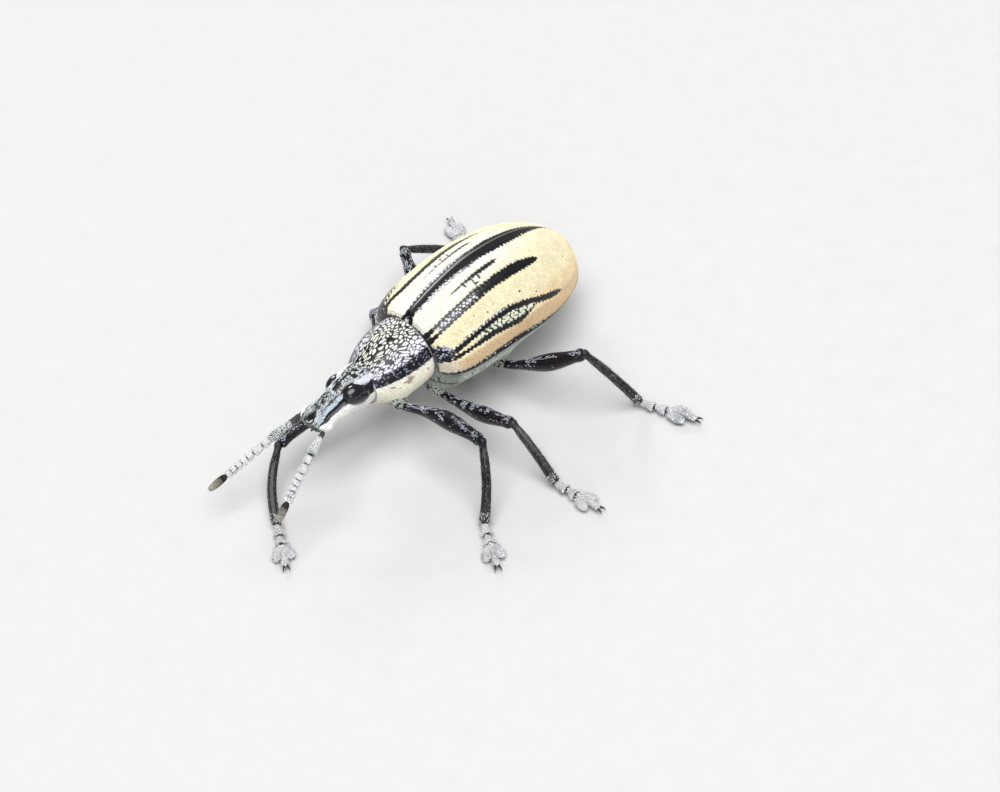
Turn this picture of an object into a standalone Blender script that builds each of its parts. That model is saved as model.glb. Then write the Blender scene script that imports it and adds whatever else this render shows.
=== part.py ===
"""A citrus root weevil at life size, standing on its six feet.

The animal is laid out in millimetres in its own frame: x to its left, y towards its
rear and z up, with y = 0 at the base of the wing covers and z = 0 on the back there.
That frame is then tilted nose up and lifted onto the floor. Legs are set out on the
floor itself. Every mesh ends up in metres, with the floor at z = 0.
"""

import math

import bmesh
import bpy
from mathutils import Matrix, Vector

MM = 0.001
GAP = 0.2

# Plain colours
COVER_COLOUR = (0.86, 0.74, 0.45)
BELLY_COLOUR = (0.62, 0.64, 0.56)
SHIELD_COLOUR = (0.16, 0.16, 0.17)
HEAD_COLOUR = (0.30, 0.33, 0.36)
EYE_COLOUR = (0.015, 0.012, 0.012)
PLATE_COLOUR = (0.75, 0.72, 0.68)
SCAPE_COLOUR = (0.45, 0.45, 0.45)
BEAD_COLOUR = (0.85, 0.85, 0.85)
CLUB_COLOUR = (0.30, 0.28, 0.26)
COXA_COLOUR = (0.10, 0.10, 0.11)
THIGH_COLOUR = (0.05, 0.05, 0.06)
SHIN_COLOUR = (0.14, 0.14, 0.15)
FOOT_COLOUR = (0.72, 0.72, 0.74)
CLAW_COLOUR = (0.35, 0.33, 0.32)
TOOL_COLOUR = (0.10, 0.10, 0.10)

# Stance
NOSE_UP = math.radians(4.5)
BACK_HEIGHT = 5.41

# Wing covers
COVER_LENGTH = 10.87
COVER_HALF_WIDTH = 3.16
COVER_RISE = 3.50
COVER_THICKNESS = 0.5
COVER_WIDEST = 0.42
COVER_HIGHEST = 0.45
SHOULDER_NARROWING = 0.266
BASE_LOWERING = 0.361
MARGIN_HEIGHT = -1.76
MARGIN_DROP = 0.56
SUTURE_GAP = 0.2
SEAM_SQUEEZE = 0.8
INNER_LENGTH_SHARE = 0.955
BASE_ROLL = 0.16
BASE_ROLL_LENGTH = 0.04
NOTCH_WIDTH = 0.32
NOTCH_LENGTH = 0.055
PLATE_PLACE = 0.20
PLATE_STRETCH = 1.15

# Underside
BELLY_DEPTH = 1.62
BELLY_INSET = 0.25
BELLY_FRONT_SHARE = 0.84
BELLY_FRONT_LENGTH = 1.3
BELLY_LEAST = 0.30
ARCH_END = 0.93
ARCH_LEAST = 0.25
ARCH_CLEARANCE = 0.02
TRUNK_START = 0.016
TRUNK_END = 0.955
TRUNK_CUT = 4.4

# Shield behind the head
SHIELD_LENGTH = 3.0
SHIELD_HALF_WIDTH = 1.90
SHIELD_HALF_HEIGHT = 1.68
SHIELD_FRONT_RADIUS = 1.03
SHIELD_REAR = -0.06
SHIELD_CENTRE = -1.42
SHIELD_SLOPE = 0.10
SHIELD_TUCK = 0.07
SHIELD_SIDES = 28
SHIELD_RINGS = 15

# Head and snout
HEAD_START = -SHIELD_LENGTH - GAP
HEAD_CENTRE = -1.60
HEAD_SLOPE = 0.12
SNOUT_TIP = 3.0
SNOUT_SHOULDER = 2.9
BLUNT_HALF_WIDTH = 0.50
BLUNT_HALF_HEIGHT = 0.25
HEAD_SQUARENESS = (0.85, 0.90)
HEAD_SIDES = 24
HEAD_RINGS = 15
MOUTH_SIZE = 0.16
MOUTH_DEPTH = 0.05
HEAD_STATIONS = (
    # along, half width, half height
    (0.00, 0.96, 0.95),
    (0.45, 0.92, 0.90),
    (1.00, 0.85, 0.80),
    (1.60, 0.79, 0.66),
    (2.20, 0.74, 0.53),
    (2.65, 0.77, 0.47),
    (2.90, 0.70, 0.36),
)

# Eyes
EYE_PLACE = Vector((0.66, -3.92, -1.30))
EYE_HALF = Vector((0.29, 0.62, 0.46))
EYE_TILT = math.radians(44)
EYE_ROOM = 0.16
EYE_SEGMENTS = 18
EYE_RINGS = 10

# Feelers, as points in the weevil's frame
FEELERS = {
    "left": (
        Vector((0.85, -6.21, -2.07)),
        Vector((1.68, -7.60, -1.84)),
        Vector((2.00, -10.09, -3.88)),
    ),
    "right": (
        Vector((-0.85, -6.20, -2.05)),
        Vector((-1.72, -7.30, -3.22)),
        Vector((-2.40, -10.59, -4.51)),
    ),
}
SCAPE_RADIUS = 0.26
SCAPE_SWELL = 0.05
BEAD_RADIUS = 0.26
BEAD_NECK = 0.19
BEAD_SHARES = (1.15, 1.35, 0.85, 0.80, 0.75, 0.75, 0.75)
CLUB_SHARE = 0.28

# Legs. A hip is in the weevil's frame; knees, ankles and toes are over the floor,
# and ankles and toes get their height from FOOT_HEIGHT and ANKLE_HEIGHT.
HIPS = {
    "fore": Vector((1.30, -1.90, -2.97)),
    "mid": Vector((1.40, 0.45, -3.68)),
    "hind": Vector((1.90, 4.00, -4.00)),
}
KNEES = {
    "left_fore": Vector((6.25, -1.60, 3.05)),
    "left_mid": Vector((6.05, 0.51, 2.35)),
    "left_hind": Vector((6.35, 5.15, 3.42)),
    "right_fore": Vector((-2.00, -7.00, 1.75)),
    "right_mid": Vector((-5.50, 2.25, 1.25)),
    "right_hind": Vector((-6.50, 5.54, 2.60)),
}
ANKLES = {
    "left_fore": Vector((7.91, -3.56, 0.0)),
    "left_mid": Vector((8.74, 0.30, 0.0)),
    "left_hind": Vector((8.31, 6.55, 0.0)),
    "right_fore": Vector((0.60, -9.70, 0.0)),
    "right_mid": Vector((-5.35, 5.70, 0.0)),
    "right_hind": Vector((-5.95, 9.00, 0.0)),
}
TOES = {
    "left_fore": Vector((10.30, -5.06, 0.0)),
    "left_mid": Vector((11.57, 0.50, 0.0)),
    "left_hind": Vector((11.41, 7.54, 0.0)),
    "right_fore": Vector((2.90, -11.15, 0.0)),
    "right_mid": Vector((-4.85, 8.40, 0.0)),
    "right_hind": Vector((-8.75, 10.50, 0.0)),
}
THIGH_BOW = {
    "fore": Vector((0.0, 0.08, 0.32)),
    "mid": Vector((0.0, -0.10, -0.12)),
    "hind": Vector((0.0, -0.25, -0.12)),
}
SHIN_BOW = {
    "left_fore": 0.20,
    "left_mid": 0.10,
    "left_hind": 0.10,
    "right_fore": 0.30,
    "right_mid": 0.10,
    "right_hind": 0.10,
}
LIMB_SIDES = 10
THIGH_SIDES = 12
COXA_RADIUS = 0.48
COXA_REACH = 0.72
THIGH = {"fore": 0.47, "mid": 0.43, "hind": 0.46}
THIGH_BASE = 0.27
THIGH_SWELL_PLACE = 0.60
THIGH_SWELL_LENGTH = 0.22
THIGH_FLATNESS = 0.92
KNEE_SWELL = 0.05
SHIN_RADIUS = 0.26
SHIN_SWELL = 0.04
CLEAR_OF_FLOOR = 0.02
FOOT_HEIGHT = 0.21
ANKLE_HEIGHT = 0.34
PAD_HALF_HEIGHT = 0.32
PADS_SHARE = 0.46
LOBES_SHARE = 0.70
STUB_SHARE = 0.74
STUB_LIFT = 0.06
STUB_RADIUS = 0.21
STUB_ROOT = 0.25
LOBE_ROOT_SHARE = 0.40
LOBE_ROOT_SPREAD = 0.10
LOBE_SPREAD = 0.34
CLAW_REACH = 0.45
CLAW_LENGTH = 0.58
CLAW_SPREAD = 0.50
CLAW_RADIUS = 0.13
CLAW_TAPER = 0.72
CLAW_DROP = 0.16
CLAW_ARCH = 0.06
CLAW_JOINT_LIFT = 0.09


def stand(point):
    """Tilts a point of the weevil's frame nose up and lifts it onto the floor."""
    turned = Matrix.Rotation(-NOSE_UP, 3, "X") @ Vector(point)
    return turned + Vector((0.0, 0.0, BACK_HEIGHT))


def power(value, exponent):
    return math.copysign(abs(value) ** exponent, value)


def material(name, colour, roughness, metallic=0.0):
    made = bpy.data.materials.new(name)
    made.use_nodes = True
    shader = made.node_tree.nodes["Principled BSDF"]
    shader.inputs["Base Color"].default_value = (*colour, 1.0)
    shader.inputs["Roughness"].default_value = roughness
    shader.inputs["Metallic"].default_value = metallic
    return made


def make_object(name, bm, colour, roughness=0.4):
    """Turns a bmesh in millimetres into a named object in metres."""
    bmesh.ops.recalc_face_normals(bm, faces=bm.faces)
    bmesh.ops.scale(bm, vec=Vector((MM, MM, MM)), verts=bm.verts)
    mesh = bpy.data.meshes.new(name)
    bm.to_mesh(mesh)
    bm.free()
    mesh.materials.append(material(name + "_finish", colour, roughness))
    mesh.shade_smooth()
    mesh.set_sharp_from_angle(angle=math.radians(40))
    made = bpy.data.objects.new(name, mesh)
    bpy.context.scene.collection.objects.link(made)
    return made


def loft(bm, rings, tip_start=None, tip_end=None):
    """Skins a row of rings and closes each end flat, or to a tip where one is given."""
    rows = [[bm.verts.new(point) for point in ring] for ring in rings]
    count = len(rows[0])
    for near, far in zip(rows, rows[1:]):
        for i in range(count):
            j = (i + 1) % count
            bm.faces.new((near[i], near[j], far[j], far[i]))
    for row, tip in ((rows[0], tip_start), (rows[-1], tip_end)):
        if tip is None:
            bm.faces.new(row)
            continue
        point = bm.verts.new(tip)
        for i in range(count):
            bm.faces.new((row[i], row[(i + 1) % count], point))


def slide_to_plane(point, direction, plane):
    """Moves a point along a direction onto a plane given by a point and a normal."""
    place, normal = plane
    return point + direction * ((place - point).dot(normal) / direction.dot(normal))


def limb_rings(start, end, profile, sides, steps, bow=Vector(), up=Vector((0, 0, 1))):
    """Rings of an oval limb from start to end; profile gives its two half sizes."""
    along = (end - start).normalized()
    side = along.cross(up).normalized()
    top = side.cross(along)
    rings = []
    for share in steps:
        centre = start.lerp(end, share) + bow * math.sin(math.pi * share)
        wide, high = profile(share)
        ring = []
        for k in range(sides):
            turn = 2 * math.pi * k / sides
            ring.append(centre + side * (wide * math.cos(turn)) + top * (high * math.sin(turn)))
        rings.append(ring)
    return rings, along


def cut_limb(bm, rings, along, start_plane, end_plane):
    """Lofts limb rings whose two ends lie in the given planes."""
    rings[0] = [slide_to_plane(point, along, start_plane) for point in rings[0]]
    rings[-1] = [slide_to_plane(point, along, end_plane) for point in rings[-1]]
    loft(bm, rings)


def mitre(before, joint, after):
    """The planes of the two faces that meet at a joint, half a gap to each side of it."""
    incoming = (joint - before).normalized()
    outgoing = (after - joint).normalized()
    normal = (incoming + outgoing).normalized()
    half = normal * (GAP / 2)
    return (joint - half, normal), (joint + half, normal)


def read_table(rows, where):
    """Reads the other columns of a short table at a place between its rows."""
    for low, high in zip(rows, rows[1:]):
        if where <= high[0]:
            share = (where - low[0]) / (high[0] - low[0])
            share = max(0.0, share)
            return [a + (b - a) * share for a, b in zip(low[1:], high[1:])]
    return list(rows[-1][1:])


# Wing covers

def base_roll(t):
    """How far the covers roll down at their base to meet the shield."""
    return 1 - BASE_ROLL * max(0.0, 1 - t / BASE_ROLL_LENGTH) ** 2


def cover_width(t):
    if t < COVER_WIDEST:
        fall = SHOULDER_NARROWING * ((COVER_WIDEST - t) / COVER_WIDEST) ** 7
        return COVER_HALF_WIDTH * (1 - fall) * base_roll(t)
    share = (t - COVER_WIDEST) / (1 - COVER_WIDEST)
    return COVER_HALF_WIDTH * max(0.0, 1 - share ** 2.3) ** 0.6


def cover_rise(t):
    if t < COVER_HIGHEST:
        fall = BASE_LOWERING * ((COVER_HIGHEST - t) / COVER_HIGHEST) ** 1.85
        return COVER_RISE * (1 - fall) * base_roll(t)
    share = (t - COVER_HIGHEST) / (1 - COVER_HIGHEST)
    return COVER_RISE * max(0.0, 1 - share ** 2.3) ** 0.52


def margin_height(t):
    return MARGIN_HEIGHT - MARGIN_DROP * t * t


def cover_point(t, turn, inset=0.0):
    """A point of the domed back: turn runs from 0 at the seam to a quarter at the margin."""
    wide = max(0.02, cover_width(t) - inset)
    high = max(0.02, cover_rise(t) - inset)
    x = wide * power(math.sin(turn), 0.97)
    z = margin_height(t) + high * power(math.cos(turn), 0.97)
    return Vector((x, COVER_LENGTH * t, z))


def seam_edge(t):
    """Half the space between the two covers, wider in front for the small plate."""
    return SUTURE_GAP / 2 + NOTCH_WIDTH * max(0.0, 1 - t / NOTCH_LENGTH)


def make_cover(side):
    """One wing cover: a curved shell from the seam to its lower edge."""
    lengthwise = [0.0, 0.015, 0.035, 0.055, 0.10] + [0.10 + 0.80 * k / 12 for k in range(1, 13)]
    lengthwise += [0.93, 0.955, 0.975, 0.99]
    across = 11
    bm = bmesh.new()
    shells = []
    for inset, shortening in ((0.0, 1.0), (COVER_THICKNESS, INNER_LENGTH_SHARE)):
        rows = []
        for t in lengthwise:
            row = []
            for k in range(across + 1):
                turn = math.pi / 2 * k / across
                point = cover_point(t * shortening, turn, inset)
                squeeze = 1 - SEAM_SQUEEZE * seam_edge(t) / cover_width(t)
                point.x = seam_edge(t) + point.x * squeeze
                point.x *= side
                row.append(bm.verts.new(stand(point)))
            rows.append(row)
        shells.append(rows)
    outer, inner = shells
    last = len(lengthwise) - 1
    for rows in shells:
        for i in range(last):
            for k in range(across):
                quad = (rows[i][k], rows[i][k + 1], rows[i + 1][k + 1], rows[i + 1][k])
                bm.faces.new(quad)
    for i in range(last):
        for k in (0, across):
            bm.faces.new((outer[i][k], outer[i + 1][k], inner[i + 1][k], inner[i][k]))
    for i in (0, last):
        for k in range(across):
            bm.faces.new((outer[i][k], outer[i][k + 1], inner[i][k + 1], inner[i][k]))
    name = "elytron_left" if side > 0 else "elytron_right"
    return make_object(name, bm, COVER_COLOUR, 0.45)


# Trunk under the covers

def belly_front(t):
    """The underside narrows to meet the shield's rear end."""
    share = min(1.0, COVER_LENGTH * t / BELLY_FRONT_LENGTH)
    return BELLY_FRONT_SHARE + (1 - BELLY_FRONT_SHARE) * math.sin(math.pi / 2 * share)


def belly_depth(t):
    return BELLY_DEPTH * belly_front(t) * max(0.05, 1 - t ** 3.2) ** 0.6


def belly_width(t):
    return (cover_width(t) - BELLY_INSET) * belly_front(t)


def belly_ring(t, halves=12):
    """A closed ring: an arch inside the covers, a ledge below their rim, and the belly."""
    inside = COVER_THICKNESS + GAP
    inner_t = min(t, ARCH_END)
    arch_wide = max(ARCH_LEAST, cover_width(inner_t) - inside)
    arch_high = max(ARCH_LEAST, cover_rise(inner_t) - inside - ARCH_CLEARANCE)
    edge = margin_height(t)
    belly_wide = max(BELLY_LEAST, belly_width(t))
    y = COVER_LENGTH * t
    ring = []
    for k in range(halves + 1):
        turn = math.pi * k / halves
        ring.append(Vector((arch_wide * math.cos(turn), y, edge + arch_high * math.sin(turn))))
    for k in range(halves + 1):
        turn = math.pi * k / halves
        x = -belly_wide * math.cos(turn)
        z = edge - GAP - belly_depth(t) * math.sin(turn)
        ring.append(Vector((x, y, z)))
    return ring


def make_trunk():
    """The hind thorax and the abdomen, parted by a thin cut across the body."""
    cut = TRUNK_CUT / COVER_LENGTH
    half_cut = GAP / 2 / COVER_LENGTH
    made = []
    spans = (
        ("thorax_underside", TRUNK_START, cut - half_cut, 7),
        ("abdomen", cut + half_cut, TRUNK_END, 12),
    )
    for name, start, end, pieces in spans:
        bm = bmesh.new()
        rings = []
        for k in range(pieces + 1):
            t = start + (end - start) * k / pieces
            rings.append([stand(point) for point in belly_ring(t)])
        loft(bm, rings)
        made.append(make_object(name, bm, BELLY_COLOUR, 0.6))
    return made


# Shield behind the head

def shield_sizes(y):
    share = min(1.0, max(0.0, -y / SHIELD_LENGTH))
    fall = share ** 2.6
    tuck = (1 - share) ** 6
    wide = SHIELD_HALF_WIDTH - (SHIELD_HALF_WIDTH - SHIELD_FRONT_RADIUS) * fall
    high = SHIELD_HALF_HEIGHT - (SHIELD_HALF_HEIGHT - SHIELD_FRONT_RADIUS) * fall
    wide -= SHIELD_TUCK * tuck
    high -= SHIELD_TUCK * tuck
    return wide, high, SHIELD_CENTRE + SHIELD_SLOPE * y


def make_shield():
    """The shield: a barrel that narrows to a collar round the head."""
    sides = SHIELD_SIDES
    rings = []
    bm = bmesh.new()
    for k in range(SHIELD_RINGS):
        y = SHIELD_REAR - (SHIELD_LENGTH + SHIELD_REAR) * k / (SHIELD_RINGS - 1)
        wide, high, centre = shield_sizes(y)
        ring = []
        for i in range(sides):
            turn = 2 * math.pi * i / sides
            ring.append(stand((wide * math.cos(turn), y, centre + high * math.sin(turn))))
        rings.append(ring)
    loft(bm, rings)
    return make_object("pronotum", bm, SHIELD_COLOUR, 0.45)


# Head

def head_centre(along):
    return Vector((0.0, HEAD_START - along, HEAD_CENTRE - HEAD_SLOPE * along))


def ellipsoid(bm, centre, half, tilt, segments, rings):
    made = bmesh.ops.create_uvsphere(bm, u_segments=segments, v_segments=rings, radius=1.0)
    frame = Matrix.Translation(centre) @ Matrix.Rotation(tilt, 4, "X") @ Matrix.Diagonal((*half, 1.0))
    bmesh.ops.transform(bm, matrix=frame, verts=made["verts"])
    for vert in made["verts"]:
        vert.co = stand(vert.co)


def make_head():
    """Head and snout in one piece, with a socket for each eye and a notched mouth."""
    sides = HEAD_SIDES
    bm = bmesh.new()
    rings = []
    for k in range(HEAD_RINGS):
        along = SNOUT_SHOULDER * k / (HEAD_RINGS - 1)
        wide, high = read_table(HEAD_STATIONS, along)
        centre = head_centre(along)
        ring = []
        for i in range(sides):
            turn = 2 * math.pi * i / sides
            x = wide * power(math.cos(turn), HEAD_SQUARENESS[0])
            z = high * power(math.sin(turn), HEAD_SQUARENESS[1])
            ring.append(stand(centre + Vector((x, 0.0, z))))
        rings.append(ring)
    centre = head_centre(SNOUT_TIP)
    blunt = []
    for i in range(sides):
        turn = 2 * math.pi * i / sides
        x = BLUNT_HALF_WIDTH * math.cos(turn)
        z = BLUNT_HALF_HEIGHT * math.sin(turn)
        blunt.append(stand(centre + Vector((x, 0.0, z))))
    rings.append(blunt)
    loft(bm, rings)
    head = make_object("head", bm, HEAD_COLOUR, 0.45)
    hollows = []
    for side in (1, -1):
        bm = bmesh.new()
        place = Vector((side * EYE_PLACE.x, EYE_PLACE.y, EYE_PLACE.z))
        room = Vector((EYE_ROOM, EYE_ROOM, EYE_ROOM))
        ellipsoid(bm, place, EYE_HALF + room, EYE_TILT, EYE_SEGMENTS, EYE_RINGS)
        hollows.append(make_object("socket_tool", bm, TOOL_COLOUR))
    bm = bmesh.new()
    bmesh.ops.create_cone(
        bm, segments=4, radius1=MOUTH_SIZE, radius2=MOUTH_SIZE, depth=1.2, cap_ends=True)
    mouth = stand(head_centre(SNOUT_TIP) + Vector((0.0, -MOUTH_DEPTH, 0.0)))
    bmesh.ops.translate(bm, vec=mouth, verts=bm.verts)
    hollows.append(make_object("mouth_tool", bm, TOOL_COLOUR))
    apply_boolean(head, hollows, "DIFFERENCE")
    return head


def make_eye(side):
    bm = bmesh.new()
    place = Vector((side * EYE_PLACE.x, EYE_PLACE.y, EYE_PLACE.z))
    ellipsoid(bm, place, EYE_HALF, EYE_TILT, EYE_SEGMENTS, EYE_RINGS)
    return make_object("eye_left" if side > 0 else "eye_right", bm, EYE_COLOUR, 0.08)


def apply_boolean(target, tools, operation):
    """Joins or cuts a target with a collection of closed pieces, then drops the pieces."""
    group = bpy.data.collections.new("tools")
    for tool in tools:
        bpy.context.scene.collection.objects.unlink(tool)
        group.objects.link(tool)
    bpy.context.scene.collection.children.link(group)
    modifier = target.modifiers.new("join", "BOOLEAN")
    modifier.operation = operation
    modifier.solver = "EXACT"
    modifier.operand_type = "COLLECTION"
    modifier.collection = group
    bpy.context.view_layer.update()
    graph = bpy.context.evaluated_depsgraph_get()
    result = bpy.data.meshes.new_from_object(target.evaluated_get(graph), depsgraph=graph)
    target.modifiers.clear()
    target.data = result
    for tool in tools:
        bpy.data.objects.remove(tool)
    bpy.data.collections.remove(group)
    keep_largest_piece(target)


def keep_largest_piece(target):
    """Leaves only the largest closed surface of a mesh."""
    bm = bmesh.new()
    bm.from_mesh(target.data)
    bmesh.ops.remove_doubles(bm, verts=bm.verts, dist=0.000002)
    left = set(bm.faces)
    pieces = []
    while left:
        seed = left.pop()
        piece = {seed}
        queue = [seed]
        while queue:
            face = queue.pop()
            for edge in face.edges:
                for other in edge.link_faces:
                    if other in left:
                        left.discard(other)
                        piece.add(other)
                        queue.append(other)
        pieces.append(piece)
    pieces.sort(key=lambda piece: -sum(face.calc_area() for face in piece))
    for piece in pieces[1:]:
        bmesh.ops.delete(bm, geom=list(piece), context="FACES")
    bm.to_mesh(target.data)
    bm.free()


# Small plate between the covers

def make_scutellum():
    """A small rounded peg in the notch between the covers, down to the trunk."""
    bm = bmesh.new()
    base = cover_point(NOTCH_LENGTH / 2, 0.0)
    floor = base.z - COVER_THICKNESS
    levels = (
        # height, half width
        (floor, 0.13),
        (base.z - 0.15, 0.15),
        (base.z, 0.14),
        (base.z + 0.04, 0.08),
    )
    rings = []
    for level, size in levels:
        ring = []
        for i in range(LIMB_SIDES):
            turn = 2 * math.pi * i / LIMB_SIDES
            y = PLATE_PLACE + PLATE_STRETCH * size * math.sin(turn)
            ring.append(stand((size * math.cos(turn), y, level)))
        rings.append(ring)
    loft(bm, rings)
    return make_object("scutellum", bm, PLATE_COLOUR, 0.5)


# Feelers

def make_feeler(side, points):
    """The scape, the seven beads beyond the elbow, and the club at the tip."""
    base, elbow, tip = (stand(point) for point in points)
    club_start = elbow.lerp(tip, 1 - CLUB_SHARE)
    elbow_near, elbow_far = mitre(base, elbow, tip)
    club_near, club_far = mitre(elbow, club_start, tip)
    root = (base, (elbow - base).normalized())

    bm = bmesh.new()
    steps = [0.0, 0.25, 0.5, 0.75, 1.0]
    rings, along = limb_rings(
        base, elbow, lambda s: (SCAPE_RADIUS + SCAPE_SWELL * (s - 0.6),) * 2, THIGH_SIDES, steps)
    cut_limb(bm, rings, along, root, elbow_near)
    made = [make_object("scape_" + side, bm, SCAPE_COLOUR, 0.5)]

    bm = bmesh.new()
    total = sum(BEAD_SHARES)
    steps = [0.0]
    sizes = [BEAD_NECK]
    reached = 0.0
    for share in BEAD_SHARES:
        for part, size in ((0.16, 0.8), (0.5, 1.0), (0.86, 0.98)):
            steps.append((reached + share * part) / total)
            sizes.append(BEAD_RADIUS * size)
        reached += share
        steps.append(reached / total)
        sizes.append(BEAD_NECK)
    widths = dict(zip(steps, sizes))
    rings, along = limb_rings(
        elbow, club_start, lambda s: (widths[s], widths[s]), LIMB_SIDES, steps)
    cut_limb(bm, rings, along, elbow_far, club_near)
    made.append(make_object("funicle_" + side, bm, BEAD_COLOUR, 0.6))

    bm = bmesh.new()
    steps = [0.0, 0.2, 0.45, 0.7, 0.88, 0.97]
    sizes = dict(zip(steps, (0.20, 0.27, 0.28, 0.24, 0.16, 0.08)))
    rings, along = limb_rings(
        club_start, tip, lambda s: (sizes[s], sizes[s]), LIMB_SIDES, steps)
    rings[0] = [slide_to_plane(point, along, club_far) for point in rings[0]]
    loft(bm, rings, None, tip)
    made.append(make_object("club_" + side, bm, CLUB_COLOUR, 0.6))
    return made


# Legs

def hip_seat(kind, hip):
    """Where the body's surface faces a hip: a point on it and its outward direction."""
    if kind == "fore":
        wide, high, centre = shield_sizes(hip.y)
    else:
        t = hip.y / COVER_LENGTH
        wide = belly_width(t)
        high = belly_depth(t)
        centre = margin_height(t) - GAP
    across = hip.x
    down = hip.z - centre
    reach = math.hypot(across / wide, down / high)
    surface = Vector((across / reach, hip.y, centre + down / reach))
    normal = Vector((across / reach / wide ** 2, 0.0, down / reach / high ** 2)).normalized()
    return surface, normal


def cut_flat(bm, place, normal):
    """Cuts away what lies beyond a plane and closes the cut."""
    geometry = list(bm.verts) + list(bm.edges) + list(bm.faces)
    cut = bmesh.ops.bisect_plane(bm, geom=geometry, plane_co=place, plane_no=normal, clear_outer=True)
    edges = [item for item in cut["geom_cut"] if isinstance(item, bmesh.types.BMEdge)]
    bmesh.ops.holes_fill(bm, edges=edges, sides=0)


def make_leg(side, kind):
    """One leg from the hip to the claws, each joint cut square to the bend."""
    leg = side + "_" + kind
    mirror = 1 if side == "left" else -1
    hip = HIPS[kind].copy()
    hip.x *= mirror
    seat, outward = hip_seat(kind, hip)
    root = stand(hip)
    seat_point = stand(seat + outward * GAP)
    seat_normal = stand(seat + outward) - stand(seat)
    knee = KNEES[leg]
    ankle = ANKLES[leg]
    toe = TOES[leg]
    toe_level = Vector((toe.x, toe.y, FOOT_HEIGHT))
    foot_start = Vector((ankle.x, ankle.y, ANKLE_HEIGHT))
    femur_dir = (knee - root).normalized()

    bm = bmesh.new()
    bmesh.ops.create_uvsphere(bm, u_segments=14, v_segments=9, radius=COXA_RADIUS)
    bmesh.ops.translate(bm, vec=root, verts=bm.verts)
    cut_flat(bm, seat_point, -seat_normal)
    femur_face = root + femur_dir * (COXA_RADIUS * COXA_REACH)
    cut_flat(bm, femur_face, femur_dir)
    made = [make_object("coxa_" + leg, bm, COXA_COLOUR, 0.35)]

    bm = bmesh.new()
    start = femur_face + femur_dir * GAP
    knee_near, knee_far = mitre(root, knee, foot_start)
    thick = THIGH[kind]

    def thigh(s):
        swell = math.exp(-((s - THIGH_SWELL_PLACE) / THIGH_SWELL_LENGTH) ** 2)
        size = THIGH_BASE + (thick - THIGH_BASE) * swell + KNEE_SWELL * s
        return size * THIGH_FLATNESS, size

    steps = [0.0, 0.12, 0.24, 0.36, 0.48, 0.60, 0.72, 0.84, 1.0]
    rings, along = limb_rings(start, knee, thigh, THIGH_SIDES, steps, THIGH_BOW[kind])
    cut_limb(bm, rings, along, (start, femur_dir), knee_near)
    made.append(make_object("femur_" + leg, bm, THIGH_COLOUR, 0.2))

    bm = bmesh.new()
    ankle_near, ankle_far = mitre(knee, foot_start, toe_level)
    shin_dir = (foot_start - knee).normalized()
    outer = (femur_dir - shin_dir * femur_dir.dot(shin_dir)).normalized()
    steps = [0.0, 0.16, 0.32, 0.48, 0.64, 0.80, 1.0]
    rings, along = limb_rings(
        knee, foot_start, lambda s: (SHIN_RADIUS + SHIN_SWELL * s ** 3,) * 2, LIMB_SIDES, steps,
        outer * SHIN_BOW[leg])
    cut_limb(bm, rings, along, knee_far, ankle_near)
    flatten(bm, 2 * CLEAR_OF_FLOOR)
    made.append(make_object("tibia_" + leg, bm, SHIN_COLOUR, 0.4))
    made += make_foot(leg, foot_start, toe_level, ankle_far)
    return made


def flatten(bm, level=0.0):
    """Presses what hangs under a level up to it, which gives the feet their flats."""
    for vert in bm.verts:
        vert.co.z = max(vert.co.z, level)


def make_foot(leg, ankle, toe, ankle_plane):
    """Three padded joints, the third with two lobes, then the claw joint and two claws."""
    along = (toe - ankle).normalized()
    side = along.cross(Vector((0, 0, 1))).normalized()
    pads_end = ankle.lerp(toe, PADS_SHARE)
    stub_end = ankle.lerp(toe, STUB_SHARE) + Vector((0, 0, STUB_LIFT))

    bm = bmesh.new()
    steps = [0.0, 0.22, 0.44, 0.52, 0.60, 0.82, 1.0]
    widths = dict(zip(steps, (0.27, 0.31, 0.37, 0.28, 0.32, 0.43, 0.34)))
    rings, direction = limb_rings(
        ankle, pads_end, lambda s: (widths[s], PAD_HALF_HEIGHT), LIMB_SIDES, steps)
    rings[0] = [slide_to_plane(point, direction, ankle_plane) for point in rings[0]]
    loft(bm, rings)
    flatten(bm)
    foot = make_object("tarsus_" + leg, bm, FOOT_COLOUR, 0.7)
    parts = [make_stub(pads_end - along * STUB_ROOT, stub_end)]
    for sign in (1, -1):
        start = ankle.lerp(toe, LOBE_ROOT_SHARE) + side * (LOBE_ROOT_SPREAD * sign)
        end = ankle.lerp(toe, LOBES_SHARE) + side * (LOBE_SPREAD * sign)
        parts.append(make_lobe(start, end))
    apply_boolean(foot, parts, "UNION")
    return [foot, make_claws(leg, stub_end, along, side, toe)]


def make_lobe(start, end):
    bm = bmesh.new()
    steps = [0.0, 0.25, 0.5, 0.75, 0.92]
    sizes = dict(zip(steps, (0.20, 0.26, 0.29, 0.26, 0.16)))
    heights = dict(zip(steps, (0.30, 0.30, 0.29, 0.26, 0.22)))
    rings = limb_rings(start, end, lambda s: (sizes[s], heights[s]), LIMB_SIDES, steps)[0]
    loft(bm, rings, None, end)
    flatten(bm)
    return make_object("lobe_tool", bm, TOOL_COLOUR)


def make_stub(start, end):
    """The root of the claw joint, between the two lobes."""
    bm = bmesh.new()
    rings = limb_rings(start, end, lambda s: (STUB_RADIUS,) * 2, LIMB_SIDES, [0.0, 0.5, 1.0])[0]
    loft(bm, rings)
    flatten(bm, CLEAR_OF_FLOOR)
    return make_object("stub_tool", bm, TOOL_COLOUR)


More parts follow.
